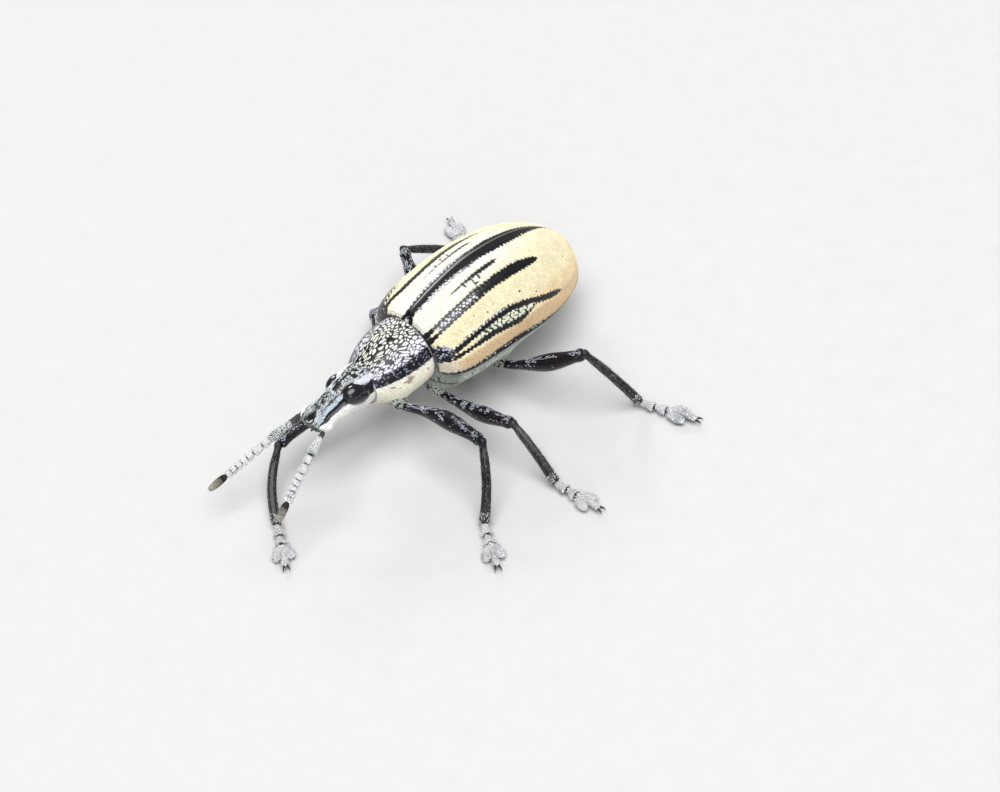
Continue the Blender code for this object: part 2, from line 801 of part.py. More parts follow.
def make_claws(leg, stub_end, along, side, toe):
    """The rest of the claw joint, with its two claws."""
    start = stub_end + along * GAP
    end = toe - along * CLAW_REACH + Vector((0, 0, CLAW_JOINT_LIFT))
    bm = bmesh.new()
    sizes = {0.0: STUB_RADIUS, 0.4: 0.25, 0.8: 0.24, 1.0: 0.18}
    rings = limb_rings(start, end, lambda s: (sizes[s],) * 2, LIMB_SIDES, list(sizes))[0]
    loft(bm, rings)
    flatten(bm, CLEAR_OF_FLOOR)
    joint = make_object("claws_" + leg, bm, CLAW_COLOUR, 0.4)
    hooks = []
    for sign in (1, -1):
        bm = bmesh.new()
        heading = (along + side * (CLAW_SPREAD * sign)).normalized()
        across = heading.cross(Vector((0, 0, 1))).normalized()
        root = end - along * 0.12 + side * (0.06 * sign)
        rings = []
        for k in range(5):
            share = k / 4
            centre = root + heading * (CLAW_LENGTH * share)
            centre.z += CLAW_ARCH * math.sin(math.pi * share) - CLAW_DROP * share ** 2
            size = CLAW_RADIUS * (1 - CLAW_TAPER * share)
            ring = []
            for i in range(6):
                turn = 2 * math.pi * i / 6
                offset = across * (size * math.cos(turn)) + Vector((0, 0, size * math.sin(turn)))
                ring.append(centre + offset)
            rings.append(ring)
        loft(bm, rings)
        flatten(bm, CLEAR_OF_FLOOR)
        hooks.append(make_object("hook_tool", bm, TOOL_COLOUR))
    apply_boolean(joint, hooks, "UNION")
    return joint


def centre_on_origin(objects):
    """Puts the middle of the model's footprint at the origin."""
    points = [vert.co for item in objects for vert in item.data.vertices]
    middle_x = (min(p.x for p in points) + max(p.x for p in points)) / 2
    middle_y = (min(p.y for p in points) + max(p.y for p in points)) / 2
    for item in objects:
        item.data.transform(Matrix.Translation((-middle_x, -middle_y, 0.0)))


def main():
    for item in list(bpy.data.objects):
        bpy.data.objects.remove(item)
    pieces = [make_head(), make_eye(1), make_eye(-1), make_shield(), make_scutellum()]
    pieces += [make_cover(1), make_cover(-1)]
    pieces += make_trunk()
    for side, points in FEELERS.items():
        pieces += make_feeler(side, points)
    for side in ("left", "right"):
        for kind in ("fore", "mid", "hind"):
            pieces += make_leg(side, kind)
    centre_on_origin(pieces)


main()
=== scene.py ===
import math

import bpy
import numpy as np
from mathutils import Matrix, Vector


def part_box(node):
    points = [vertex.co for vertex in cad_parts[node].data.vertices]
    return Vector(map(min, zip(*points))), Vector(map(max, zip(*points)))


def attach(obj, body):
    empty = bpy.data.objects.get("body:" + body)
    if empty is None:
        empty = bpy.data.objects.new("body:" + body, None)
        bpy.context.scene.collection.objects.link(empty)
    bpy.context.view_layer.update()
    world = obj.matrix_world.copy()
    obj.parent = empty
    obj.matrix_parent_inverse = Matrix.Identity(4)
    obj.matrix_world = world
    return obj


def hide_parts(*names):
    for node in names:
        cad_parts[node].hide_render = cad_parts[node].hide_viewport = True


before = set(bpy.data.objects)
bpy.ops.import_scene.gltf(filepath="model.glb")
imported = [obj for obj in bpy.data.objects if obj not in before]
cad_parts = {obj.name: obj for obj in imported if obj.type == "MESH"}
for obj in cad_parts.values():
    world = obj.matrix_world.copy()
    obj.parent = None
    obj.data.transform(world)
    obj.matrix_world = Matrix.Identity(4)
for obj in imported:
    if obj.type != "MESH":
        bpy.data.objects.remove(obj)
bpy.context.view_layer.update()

# A citrus root weevil. Shapes are drawn in millimetres, either in the weevil's own
# frame (x to its left, y towards its rear, z = 0 on the back at the base of the wing
# covers) or over the floor, and are then put in place in metres.

MM = 0.001
NOSE_UP = math.radians(4.5)
BACK_HEIGHT = 5.41
UP = Vector((0.0, 0.0, 1.0))
MERGE_DISTANCE = 0.0005

# The middle of the left eye's solid, in the weevil's own frame
EYE_PLACE = Vector((0.66, -3.92, -1.30))


def middle(node):
    low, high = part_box(node)
    return (Vector(low) + Vector(high)) / 2


STAND = Matrix.Translation((0.0, 0.0, BACK_HEIGHT)) @ Matrix.Rotation(-NOSE_UP, 4, "X")
SHIFT = middle("eye_left") / MM - STAND @ EYE_PLACE
OVER_FLOOR = Matrix.Scale(MM, 4) @ Matrix.Translation(SHIFT)
IN_BODY = OVER_FLOOR @ STAND


# Camera

VIEW_PLACE = Vector((55.09, -40.27, 68.44))
VIEW_AZIMUTH = math.radians(50.61)
VIEW_ELEVATION = math.radians(45.19)
VIEW_ROLL = math.radians(-8.57)


def place_camera():
    deselect()
    bpy.ops.object.camera_add()
    camera = bpy.context.object
    camera.name = "camera"
    level = Vector((math.cos(VIEW_AZIMUTH), math.sin(VIEW_AZIMUTH), 0.0))
    back = Vector((
        math.sin(VIEW_AZIMUTH) * math.cos(VIEW_ELEVATION),
        -math.cos(VIEW_AZIMUTH) * math.cos(VIEW_ELEVATION),
        math.sin(VIEW_ELEVATION)))
    upright = back.cross(level)
    right = level * math.cos(VIEW_ROLL) + upright * math.sin(VIEW_ROLL)
    turned = Matrix((right, back.cross(right), back)).transposed().to_4x4()
    camera.matrix_world = Matrix.Translation(OVER_FLOOR @ VIEW_PLACE) @ turned
    camera.data.sensor_width = 36.0
    camera.data.lens = 72.18
    camera.data.clip_start = 0.001
    camera.data.clip_end = 10.0
    bpy.context.scene.camera = camera


# Working by hand

def deselect():
    bpy.ops.object.select_all(action="DESELECT")


def take(obj):
    """Leaves one object selected and active."""
    deselect()
    obj.select_set(True)
    bpy.context.view_layer.objects.active = obj


def modify(obj, kind, **settings):
    """Adds a modifier and applies it."""
    take(obj)
    modifier = obj.modifiers.new(kind.lower(), kind)
    for key, value in settings.items():
        setattr(modifier, key, value)
    bpy.ops.object.modifier_apply(modifier=modifier.name)


def open_all(obj):
    """Opens a piece for editing with all of it selected."""
    take(obj)
    bpy.ops.object.mode_set(mode="EDIT")
    bpy.ops.mesh.select_all(action="SELECT")


def close_up(obj):
    """Merges what lies on one spot and turns all faces outwards."""
    open_all(obj)
    bpy.ops.mesh.remove_doubles(threshold=MERGE_DISTANCE)
    bpy.ops.mesh.normals_make_consistent(inside=False)
    bpy.ops.object.mode_set(mode="OBJECT")
    spots, normals = surface_points(obj)
    if ((spots - spots.mean(0)) * normals).sum() < 0:
        # An open plate may have been turned inside out as a whole
        open_all(obj)
        bpy.ops.mesh.flip_normals()
        bpy.ops.object.mode_set(mode="OBJECT")


def surface_points(obj):
    """Places and normals of a mesh's points."""
    count = len(obj.data.vertices)
    spots, normals = np.empty(count * 3), np.empty(count * 3)
    obj.data.vertices.foreach_get("co", spots)
    obj.data.vertices.foreach_get("normal", normals)
    return spots.reshape(-1, 3), normals.reshape(-1, 3)


def move_points(obj, spots):
    obj.data.vertices.foreach_set("co", spots.ravel())
    obj.data.update()


def keep_above(obj, floor):
    """Presses whatever would pass the floor up to it."""
    spots, _ = surface_points(obj)
    spots[:, 2] = np.maximum(spots[:, 2], floor)
    move_points(obj, spots)


def settle(obj, place):
    """Puts a shape drawn in millimetres in its place, with the object left at the origin."""
    take(obj)
    obj.matrix_world = place
    bpy.ops.object.transform_apply(location=True, rotation=True, scale=True)


def named(obj, name):
    obj.name = name
    obj.data.name = name
    return obj


def twin(obj):
    made = obj.copy()
    made.data = obj.data.copy()
    bpy.context.scene.collection.objects.link(made)
    return made


def joined(name, parts):
    take(parts[0])
    for part in parts:
        part.select_set(True)
    bpy.ops.object.join()
    return named(bpy.context.object, name)


def filled(stations):
    """Rows of five: a missing second half size is the first one, and missing shifts are 0."""
    return [(*row[:2], *(row[2:] or row[1:2]), 0, 0)[:5] for row in stations]


def drawn_limb(name, stations, sides=16):
    """A limb drawn upwards from a circle, one extrusion a station.

    A station is height, half size along x, half size along y, and the shift of its
    middle along x and along y.
    """
    deselect()
    last, *others = filled(stations)
    height, wide, deep, aside, across = last
    bpy.ops.mesh.primitive_circle_add(
        vertices=sides, radius=1.0, fill_type="NGON", location=(aside, across, height))
    obj = bpy.context.object
    bpy.ops.object.transform_apply(location=True, rotation=False, scale=False)
    bpy.ops.object.mode_set(mode="EDIT")
    bpy.ops.mesh.select_all(action="SELECT")
    bpy.ops.transform.resize(value=(wide, deep, 1.0), center_override=(aside, across, height))
    for station in others:
        height, wide, deep, aside, across = station
        step = (aside - last[3], across - last[4], height - last[0])
        bpy.ops.mesh.extrude_region_move(TRANSFORM_OT_translate={"value": step})
        bpy.ops.transform.resize(
            value=(wide / last[1], deep / last[2], 1.0), center_override=(aside, across, height))
        last = station
    bpy.ops.mesh.select_all(action="SELECT")
    bpy.ops.mesh.normals_make_consistent(inside=False)
    bpy.ops.object.mode_set(mode="OBJECT")
    modify(obj, "SUBSURF", levels=1, render_levels=1)
    obj.data.shade_smooth()
    return named(obj, name)


def ball(name, place, half, turn=(0.0, 0.0, 0.0), segments=32, rings=20):
    """A round piece with its own three half sizes."""
    deselect()
    bpy.ops.mesh.primitive_uv_sphere_add(segments=segments, ring_count=rings, radius=1.0)
    obj = bpy.context.object
    obj.scale = half
    obj.rotation_euler = turn
    obj.location = place
    bpy.ops.object.transform_apply(location=True, rotation=True, scale=True)
    obj.data.shade_smooth()
    return named(obj, name)


def between(start, end, lean=UP):
    """A frame with z from start to end, x towards lean and y to the side."""
    along = (end - start).normalized()
    side = along.cross(lean).normalized()
    top = side.cross(along)
    turned = Matrix((top, along.cross(top), along)).transposed().to_4x4()
    return Matrix.Translation(start) @ turned


def lay_down(obj, start, end):
    """Puts a limb drawn upwards between two places."""
    settle(obj, between(Vector(start), Vector(end)))
    return obj


def mirrored(point, side):
    return Vector((side * point[0], point[1], point[2]))


# Number patterns

def hashed(x, y, seed):
    value = np.sin(x * 127.1 + y * 311.7 + seed * 74.7) * 43758.5453
    return value - np.floor(value)


def ramp(value, low, high):
    share = np.clip((value - low) / (high - low), 0.0, 1.0)
    return share * share * (3.0 - 2.0 * share)


def cloud(x, y, seed):
    """Soft noise from 0 to 1 with features one unit across."""
    ix, iy = np.floor(x), np.floor(y)
    fx, fy = x - ix, y - iy
    fx, fy = fx * fx * (3 - 2 * fx), fy * fy * (3 - 2 * fy)
    near = hashed(ix, iy, seed) * (1 - fx) + hashed(ix + 1, iy, seed) * fx
    far = hashed(ix, iy + 1, seed) * (1 - fx) + hashed(ix + 1, iy + 1, seed) * fx
    return near * (1 - fy) + far * fy


def cells(x, y, seed, scatter=0.8):
    """Nearest and second nearest distance to a scattered grid, and a number per cell."""
    ix, iy = np.floor(x), np.floor(y)
    first = np.full(x.shape, 9.0)
    second = np.full(x.shape, 9.0)
    number = np.zeros(x.shape)
    for dx in (-1, 0, 1):
        for dy in (-1, 0, 1):
            cx, cy = ix + dx, iy + dy
            px = cx + 0.5 + scatter * (hashed(cx, cy, seed) - 0.5)
            py = cy + 0.5 + scatter * (hashed(cx, cy, seed + 1) - 0.5)
            away = np.hypot(px - x, py - y)
            closer = away < first
            second = np.where(closer, first, np.minimum(second, away))
            number = np.where(closer, hashed(cx, cy, seed + 2), number)
            first = np.where(closer, away, first)
    return first, second, number


def bell(away, width):
    """1 in the middle of a mark, and close to 0 at twice its width."""
    return np.exp(-(away / width) ** 2)


def dots(t, v, pitch_t, pitch_v, radius, seed):
    """1 between round dots set in staggered rows, 0 inside them."""
    row = np.floor(v / pitch_v)
    shifted = t / pitch_t + 0.5 * np.mod(row, 2)
    column = np.floor(shifted)
    dt = (shifted - column - 0.5 + 0.25 * (hashed(column, row, seed) - 0.5)) * pitch_t * COVER_LENGTH
    dv = (v / pitch_v - row - 0.5 + 0.25 * (hashed(column, row, seed + 1) - 0.5)) * pitch_v * COVER_GIRTH
    return ramp(np.hypot(dt, dv), radius * 0.85, radius * 1.15)


def blend_colours(first, second, share):
    share = np.asarray(share)[..., None]
    return np.asarray(first) * (1 - share) + np.asarray(second) * share


def layered(tint, *layers):
    """Lays colours over a first one, each with its own share."""
    for colour, share in layers:
        tint = blend_colours(tint, colour, share)
    return tint


# Wing covers

COVER_LENGTH = 10.87
COVER_GIRTH = 5.2
COVER_HALF_WIDTH = 3.16
COVER_RISE = 3.50
COVER_WIDEST = 0.42
COVER_HIGHEST = 0.45
MARGIN_HEIGHT = -1.76
MARGIN_DROP = 0.56
PIT_STEP = 0.0205
PIT_ROWS = 10


def base_roll(t):
    return 1 - 0.16 * np.maximum(0.0, 1 - t / 0.04) ** 2


def cover_width(t):
    front = 1 - 0.266 * (np.maximum(0.0, COVER_WIDEST - t) / COVER_WIDEST) ** 7
    share = np.clip((t - COVER_WIDEST) / (1 - COVER_WIDEST), 0.0, 1.0)
    rear = np.maximum(0.0, 1 - share ** 2.3) ** 0.6
    return COVER_HALF_WIDTH * np.where(t < COVER_WIDEST, front * base_roll(t), rear)


def cover_rise(t):
    front = 1 - 0.361 * (np.maximum(0.0, COVER_HIGHEST - t) / COVER_HIGHEST) ** 1.85
    share = np.clip((t - COVER_HIGHEST) / (1 - COVER_HIGHEST), 0.0, 1.0)
    rear = np.maximum(0.0, 1 - share ** 2.3) ** 0.52
    return COVER_RISE * np.where(t < COVER_HIGHEST, front * base_roll(t), rear)


def margin_height(t):
    return MARGIN_HEIGHT - MARGIN_DROP * t * t


def cover_form(t, v, side, inset=0.03):
    """A place on a wing cover; v runs from 0 at the seam to 1 at the lower edge."""
    turn = v * math.pi / 2
    seam = 0.012 + 0.22 * np.maximum(0.0, 1 - t / 0.035)
    wide = np.maximum(0.0, cover_width(t) - inset)
    high = np.maximum(0.0, cover_rise(t) - inset)
    x = seam * np.minimum(1.0, wide) + wide * np.sin(turn) ** 0.97 * (1 - seam / 3.2)
    z = margin_height(t) + high * np.cos(turn) ** 0.97
    return np.stack((side * x, COVER_LENGTH * t, z), -1)


def outward(form, a, b, heart, step=0.0006):
    """Unit normals of a form, turned away from a heart line."""
    da = form(a + step, b) - form(a - step, b)
    db = form(a, b + step) - form(a, b - step)
    normal = np.cross(da, db)
    normal /= np.linalg.norm(normal, axis=-1, keepdims=True) + 1e-12
    away = form(a, b) - heart(a, b)
    sign = np.sign((normal * away).sum(-1, keepdims=True))
    return normal * np.where(sign == 0, 1, sign)


def pits(t, v):
    """Depth share of the rows of small pits, and a number per pit."""
    row = np.floor(v * PIT_ROWS)
    across = (v * PIT_ROWS - row - 0.5) * COVER_GIRTH / PIT_ROWS
    column = np.floor(t / PIT_STEP + 0.5 * np.mod(row, 2))
    along = (t / PIT_STEP + 0.5 * np.mod(row, 2) - column - 0.5) * PIT_STEP * COVER_LENGTH
    return np.exp(-(across ** 2 + along ** 2) / 0.045 ** 2), hashed(column, row, 3)


# Stripes are rows of how far back, how far down from the seam, and half the width there,
# all as shares of the cover. The stripe at the seam and the line along the edge have only
# one border, so their rows are just how far back and how far down.
STRIPE_SEAM = ((0, .058), (.2, .062), (.3, .078), (.4, .098), (.5, .114), (.6, .110), (.65, .10),
               (.7, .086), (.75, .066), (.8, .042), (.85, .02), (.9, .008), (1, 0))
STRIPE_SHORT = ((.165, .203, 0), (.2, .203, .006), (.25, .205, .011), (.3, .208, .016),
                (.35, .209, .020), (.4, .211, .020), (.44, .208, .016), (.465, .203, 0))
STRIPE_SECOND = ((.27, .372, 0), (.30, .372, .045), (.4, .373, .052), (.5, .375, .052),
                 (.55, .382, .047), (.6, .393, .038), (.63, .401, .024), (.648, .404, 0))
SECOND_TOP = ((0, .36, .05), (.03, .362, .024), (.08, .333, .016), (.15, .330, .014), (.3, .332, .016),
              (.34, .33, 0))
SECOND_LOW = ((0, .46, .05), (.03, .450, .024), (.06, .425, .016), (.12, .412, .014), (.3, .414, .014),
              (.34, .415, 0))
SECOND_RIGHT = ((0, .58, .05), (.04, .50, .045), (.1, .400, .042), (.2, .370, .042), (.3, .378, .044),
                (.4, .372, .042), (.45, .356, .036), (.5, .346, .024), (.57, .335, 0))
STRIPE_UPPER = ((.0, .73, .07), (.03, .725, .05), (.06, .705, .035), (.12, .676, .025), (.2, .668, .024),
                (.3, .665, .024), (.38, .675, .025), (.45, .696, .025), (.5, .722, .026), (.55, .757, .028),
                (.6, .785, .030), (.65, .806, .028), (.69, .821, .014), (.708, .827, 0))
STRIPE_LOWER = ((.0, .78, .04), (.06, .777, .030), (.1, .768, .020), (.15, .766, .021), (.2, .768, .025),
                (.25, .775, .028), (.3, .790, .026), (.35, .805, .024), (.4, .820, .022),
                (.43, .820, .017), (.46, .806, .014), (.5, .79, .006), (.53, .78, 0))
# The dark line along the lower edge is partly bare black skin and partly painted shade at the edge's rim
EDGE_LINE = ((0, .985), (.05, .972), (.1, .970), (.2, .962), (.3, .952), (.4, .952), (.5, .966), (.6, .982),
             (.75, 1.01))
# Small blots: place back and down, and half sizes
BLOTS = ((.26, .235, .006, .020), (.301, .25, .005, .050), (.337, .255, .006, .026),
         (.31, .29, .010, .010), (.535, .30, .006, .006), (.205, .505, .005, .007),
         (.27, .567, .006, .008), (.462, .585, .006, .008), (.545, .675, .007, .009),
         (.80, .535, .006, .006), (.34, .395, .004, .006), (.0, .675, .040, .105))

CUTICLE = np.array((0.004, 0.004, 0.005))
WHITE = (0.93, 0.92, 0.80)
CREAM = (0.93, 0.83, 0.53)
PEACH = (0.90, 0.67, 0.37)
TAN = (0.70, 0.50, 0.28)
LILAC = (0.64, 0.66, 0.84)
MINT = (0.72, 0.82, 0.70)


def read(rows, t):
    """The first value of a table's rows, read off at the places t."""
    return np.interp(t, *np.array(rows)[:, :2].T)


def stripe(t, v, rows, ragged):
    rows = np.array(rows)
    centre = np.interp(t, rows[:, 0], rows[:, 1])
    half = np.interp(t, rows[:, 0], rows[:, 2])
    inside = (t >= rows[0, 0]) & (t <= rows[-1, 0])
    gone = np.minimum(1.0, half / 0.01)
    return np.where(inside & (half > 0), half + ragged * gone - np.abs(v - centre), -1.0)


def cover_marks(t, v, side, clear=0.0):
    """How bare a wing cover is at a place, from 0 to 1, and the colour of its scales.

    clear widens the bare lines, for scales that would else reach over them.
    """
    if side < 0:
        v = v + 0.55 * v * (1 - v)
    teeth = 0.018 * np.abs(np.sin(math.pi * t / PIT_STEP)) - 0.009
    ragged = teeth + 0.016 * (cloud(t * 160, v * 70, 11) - 0.5)
    seam = read(STRIPE_SEAM, t) * (1.0 if side > 0 else 0.62)
    edge = read(EDGE_LINE, t)
    reach = seam + ragged * np.minimum(1, seam / 0.03) - v
    second = (STRIPE_SECOND, SECOND_TOP, SECOND_LOW) if side > 0 else (SECOND_RIGHT,)
    for rows in (STRIPE_SHORT, STRIPE_UPPER, STRIPE_LOWER) + second:
        reach = np.maximum(reach, stripe(t, v, rows, ragged * (0.5 if rows is STRIPE_SHORT else 0.8)))
    # Dark line along the lower edge: partly bare skin, partly painted shade
    reach = np.maximum(reach, v + ragged * 0.6 - edge)
    reach = np.maximum(reach, 0.003 - t + 0.004 * cloud(t * 30, v * 40, 5) * ramp(0.8 - v, 0, 0.1))
    bare = ramp(reach + clear, -0.003, 0.003)
    for place_t, place_v, half_t, half_v in BLOTS:
        away = np.hypot((t - place_t) / half_t, (v - place_v) / half_v)
        bare = np.maximum(bare, ramp(1.25 - away + 0.5 * (cloud(t * 200, v * 90, 7) - 0.5), 0, 0.3))
    # Rows of round pale dots with dark between them
    beads = dots(t, v, PIT_STEP, 0.033, 0.072, 21)
    along_seam = ramp(v, seam - 0.02, seam) * ramp(seam + 0.042 - v, 0, 0.01)
    along_seam = along_seam * ramp(t, 0.02, 0.05) * ramp(0.46 - t, 0, 0.1)
    in_second = ramp(v, 0.33, 0.34) * ramp(0.418 - v, 0, 0.01) * ramp(t, 0.03, 0.07)
    in_second = in_second * ramp(0.33 - t, 0, 0.05) * (side > 0)
    above_upper = ramp(v, 0.618, 0.63) * ramp(0.665 - v, 0, 0.01) * ramp(t, 0.10, 0.14)
    above_upper = above_upper * ramp(0.42 - t, 0, 0.05)
    upper, lower = read(STRIPE_UPPER, t), read(STRIPE_LOWER, t)
    amid = ramp(v, upper, upper + 0.01) * ramp(lower - v, 0, 0.01) * ramp(t, 0.15, 0.22)
    amid = amid * ramp(0.55 - t, 0, 0.03)
    bare = np.maximum(bare, beads * 0.95 * np.clip(0.75 * along_seam + above_upper, 0, 1))
    bare = np.maximum(bare, dots(t, v, PIT_STEP, 0.030, 0.064, 22) * in_second)
    # Lilac specks in the black patch of the shoulder and in the dark line along the edge, which is partly
    # painted shade
    shoulder = ramp(1.5 - np.hypot(t / 0.045, (v - 0.70) / 0.10), 0, 0.4)
    patch = np.clip(shoulder + 0.8 * ramp(v - edge, -0.002, 0.004), 0, 1)
    speckled = (1 - dots(t, v, 0.016, 0.026, 0.040, 61)) * ramp(cloud(t * 70, v * 30, 62), 0.38, 0.5)
    bare = bare * (1 - patch * speckled)
    bare = np.maximum(bare, dots(t, v, 0.026, 0.040, 0.100, 31) * amid)
    if side < 0:
        front_edge = ramp(0.15 - t, 0, 0.03) * ramp(v, 0.52, 0.58)
        bare = np.maximum(bare, front_edge * dots(t, v, 0.022, 0.040, 0.062, 51))
    # Scale colours
    tint = layered(
        WHITE,
        (CREAM, ramp(v + 0.25 * t, 0.30, 0.52) * 0.85 + 0.15 * cloud(t * 9, v * 5, 2)),
        (CREAM, ramp(t, 0.45, 0.75) * 0.75),
        (PEACH, ramp(v, 0.55, 0.75) * ramp(t, 0.35, 0.7) * 0.8),
        (TAN, ramp(v, 0.79, 0.86) * (1 - 0.45 * ramp(t, 0.55, 0.95))),
        (PEACH, ramp(t, 0.80, 1.0) * 0.65),
        ((0.74, 0.72, 0.62), ramp(0.10 - t, 0, 0.08) * ramp(v, 0.80, 0.86) * 0.8))
    tint = tint * (0.93 + 0.07 * cloud(t * 26, v * 13, 6))[..., None]
    blue = np.clip(along_seam * 0.6 + in_second + above_upper * 0.7, 0, 1)
    tint = layered(
        tint,
        (LILAC, blue * (0.35 + 0.65 * cloud(t * 60, v * 25, 9))),
        (MINT, amid * (0.3 + 0.7 * cloud(t * 50, v * 25, 10))),
        ((0.44, 0.46, 0.58), patch))
    return bare, tint


def heart_of_covers(t, v):
    return np.stack((0 * t, COVER_LENGTH * np.minimum(t, 0.93), margin_height(t)), -1)


def even_lengths(count):
    """Shares of the cover's length that are evenly spaced along its back."""
    fine = 1 - (1 - np.linspace(0, 1, 4001)) ** 1.5
    path = np.stack((fine * COVER_LENGTH, cover_rise(fine), cover_width(fine)), -1)
    run = np.concatenate(([0], np.cumsum(np.linalg.norm(np.diff(path, axis=0), axis=1))))
    return np.interp(np.linspace(0, run[-1], count), run, fine)


def draped(name, columns, rows, form):
    """A flat grid, added by hand, whose every point is then laid on a curved form.

    columns holds lists with one number for each column of points. The form is given the
    numbers of a point's column and how far the point is along it, from 0 to 1.
    """
    deselect()
    last = len(columns[0]) - 1
    bpy.ops.mesh.primitive_grid_add(x_subdivisions=last, y_subdivisions=rows, size=1.0)
    obj = bpy.context.object
    a, b, _ = (surface_points(obj)[0] + 0.5).T
    index = np.round(a * last).astype(int)
    here = [numbers[index] for numbers in columns]
    b = np.round(b * rows) / rows
    move_points(obj, form(*here, b).astype(np.float32))
    obj.data.shade_smooth()
    return named(obj, name), here[0], b


def closing(start, reach, count):
    """Stops that lie closer and closer towards a rounded end."""
    return start + reach * np.sin(np.linspace(0.06, math.pi / 2, count))


def colour_points(mesh, colours):
    layer = mesh.color_attributes.new("tint", "FLOAT_COLOR", "POINT")
    layer.data.foreach_set("color", np.column_stack((colours, np.ones(len(colours)))).ravel())


# Skin under the scales takes their colour, darker: painted shade in the gaps between the scales
SHADE_UNDER_SCALES = 0.74


def paint(mesh, bare, tint):
    """Stores how bare the skin is and its colour at every point."""
    colour_points(mesh, blend_colours(np.asarray(tint) * SHADE_UNDER_SCALES, CUTICLE, bare))
    gloss = mesh.attributes.new("bare", "FLOAT", "POINT")
    gloss.data.foreach_set("value", np.asarray(bare, dtype=np.float32))


def finish_skin(obj, bare, tint, wall=0.0):
    """Paints a draped skin, closes it, gives it a wall if it is a shell, and puts it in place."""
    paint(obj.data, bare, tint)
    close_up(obj)
    if wall:
        modify(obj, "SOLIDIFY", thickness=wall, offset=-1.0)
    settle(obj, IN_BODY)


# Coats: many small scales or hairs in one mesh

LIFT_OFF_SKIN = 0.004
HALF_PATCH = 0.0015
PALEST = 0.95
HEX = np.array([(math.cos(k * math.pi / 3), math.sin(k * math.pi / 3)) for k in range(6)])
SCALE_SHAPE = np.vstack((np.column_stack((HEX, np.zeros(6))), ((0.15, 0, 1), (-0.1, 0, -1))))
SCALE_FACES = np.array([(k, (k + 1) % 6, 6) for k in range(6)] + [((k + 1) % 6, k, 7) for k in range(6)])
HAIR_SHAPE = np.array(((0, 1, 0), (0, -0.5, 0.87), (0, -0.5, -0.87), (1, 0, 0.0)))
HAIR_FACES = np.array(((0, 1, 3), (1, 2, 3), (2, 0, 3), (0, 2, 1)))


def unit(vectors):
    return vectors / (np.linalg.norm(vectors, axis=-1, keepdims=True) + 1e-12)


def placed(shape, roots, sizes, axes):
    """A copy of a shape on every root, with its own sizes along its own axes."""
    points = roots[:, None]
    for column, (size, axis) in enumerate(zip(sizes, axes)):
        size = np.broadcast_to(size, len(roots))
        points = points + shape[None, :, column, None] * size[:, None, None] * axis[:, None]
    return points


def scales(roots, normals, lie, length, width, thick, lift, tints, places):
    """Thin domed scales that lie along the skin with their free ends a little raised."""
    lie = unit(lie - normals * (lie * normals).sum(-1, keepdims=True))
    side = np.cross(normals, lie)
    raised = unit(lie + normals * lift)
    points = placed(
        SCALE_SHAPE, roots + normals * LIFT_OFF_SKIN, (np.asarray(length) / 2, np.asarray(width) / 2, thick),
        (raised, side, np.cross(raised, side)))
    return points, SCALE_FACES, tints, places, SCALE_SHAPE[:, :2] * HALF_PATCH


def hairs(roots, heading, length, radius, tints, places):
    """Fine pointed hairs."""
    heading = unit(heading)
    side = unit(np.cross(heading, np.array((0.3, 0.5, 0.81))))
    points = placed(HAIR_SHAPE, roots, (length, radius, radius), (heading, side, np.cross(heading, side)))
    return points, HAIR_FACES, tints, places, HAIR_SHAPE[:, :2] * HALF_PATCH


def coat(name, batches, place, finish, slot):
    """Joins batches of scales or hairs into one coat mesh with its own colours and map."""
    points, faces, colours, maps = [], [], [], []
    start = 0
    for shape, template, tints, roots, spread in batches:
        count, size = shape.shape[:2]
        points.append(shape.reshape(-1, 3))
        offsets = start + np.arange(count)[:, None, None] * size
        faces.append((template[None] + offsets).reshape(-1, 3))
        colours.append(np.repeat(tints, size, axis=0))
        maps.append((roots[:, None] + spread[None]).reshape(-1, 2))
        start += count * size
    points, faces = np.vstack(points), np.vstack(faces)
    mesh = bpy.data.meshes.new(name)
    mesh.vertices.add(len(points))
    mesh.vertices.foreach_set("co", points.astype(np.float32).ravel())
    mesh.loops.add(faces.size)
    mesh.loops.foreach_set("vertex_index", faces.astype(np.int32).ravel())
    mesh.polygons.add(len(faces))
    mesh.polygons.foreach_set("loop_start", np.arange(0, faces.size, 3, dtype=np.int32))
    mesh.update(calc_edges=True)
    colour_points(mesh, np.vstack(colours))
    chart = mesh.uv_layers.new(name="OFBake")
    chart.data.foreach_set("uv", np.vstack(maps)[faces.ravel()].astype(np.float32).ravel())
    mesh.shade_smooth()
    obj = bpy.data.objects.new(name, mesh)
    bpy.context.scene.collection.objects.link(obj)
    settle(obj, place)
    dress(obj, finish, slot)


def even_rows(form, firsts, width_of, spacing, seed, start=0.0, end=1.0):
    """Pairs of shares spread evenly over a form, row by row, a little scattered."""
    rng = np.random.default_rng(seed)
    fine = np.linspace(start, end, 161)
    all_a, all_b = [], []
    for index, first in enumerate(firsts):
        line = form(np.full_like(fine, first), fine)
        run = np.concatenate(([0], np.cumsum(np.linalg.norm(np.diff(line, axis=0), axis=1))))
        count = int(run[-1] / spacing)
        if count < 1:
            continue
        stops = (np.arange(count) + 0.25 + 0.5 * (index % 2) + rng.uniform(-0.28, 0.28, count)) / count
        all_b.append(np.interp(stops * run[-1], run, fine))
        all_a.append(first + rng.uniform(-0.28, 0.28, count) * width_of)
    return np.concatenate(all_a), np.concatenate(all_b), rng


# How the scales lie on each plate: their heading and how far they stray from it, the range of
# their shades and single colours, their lengths, width per length, thickness and lift, and
# where the plate's patches start on the map and how far they go

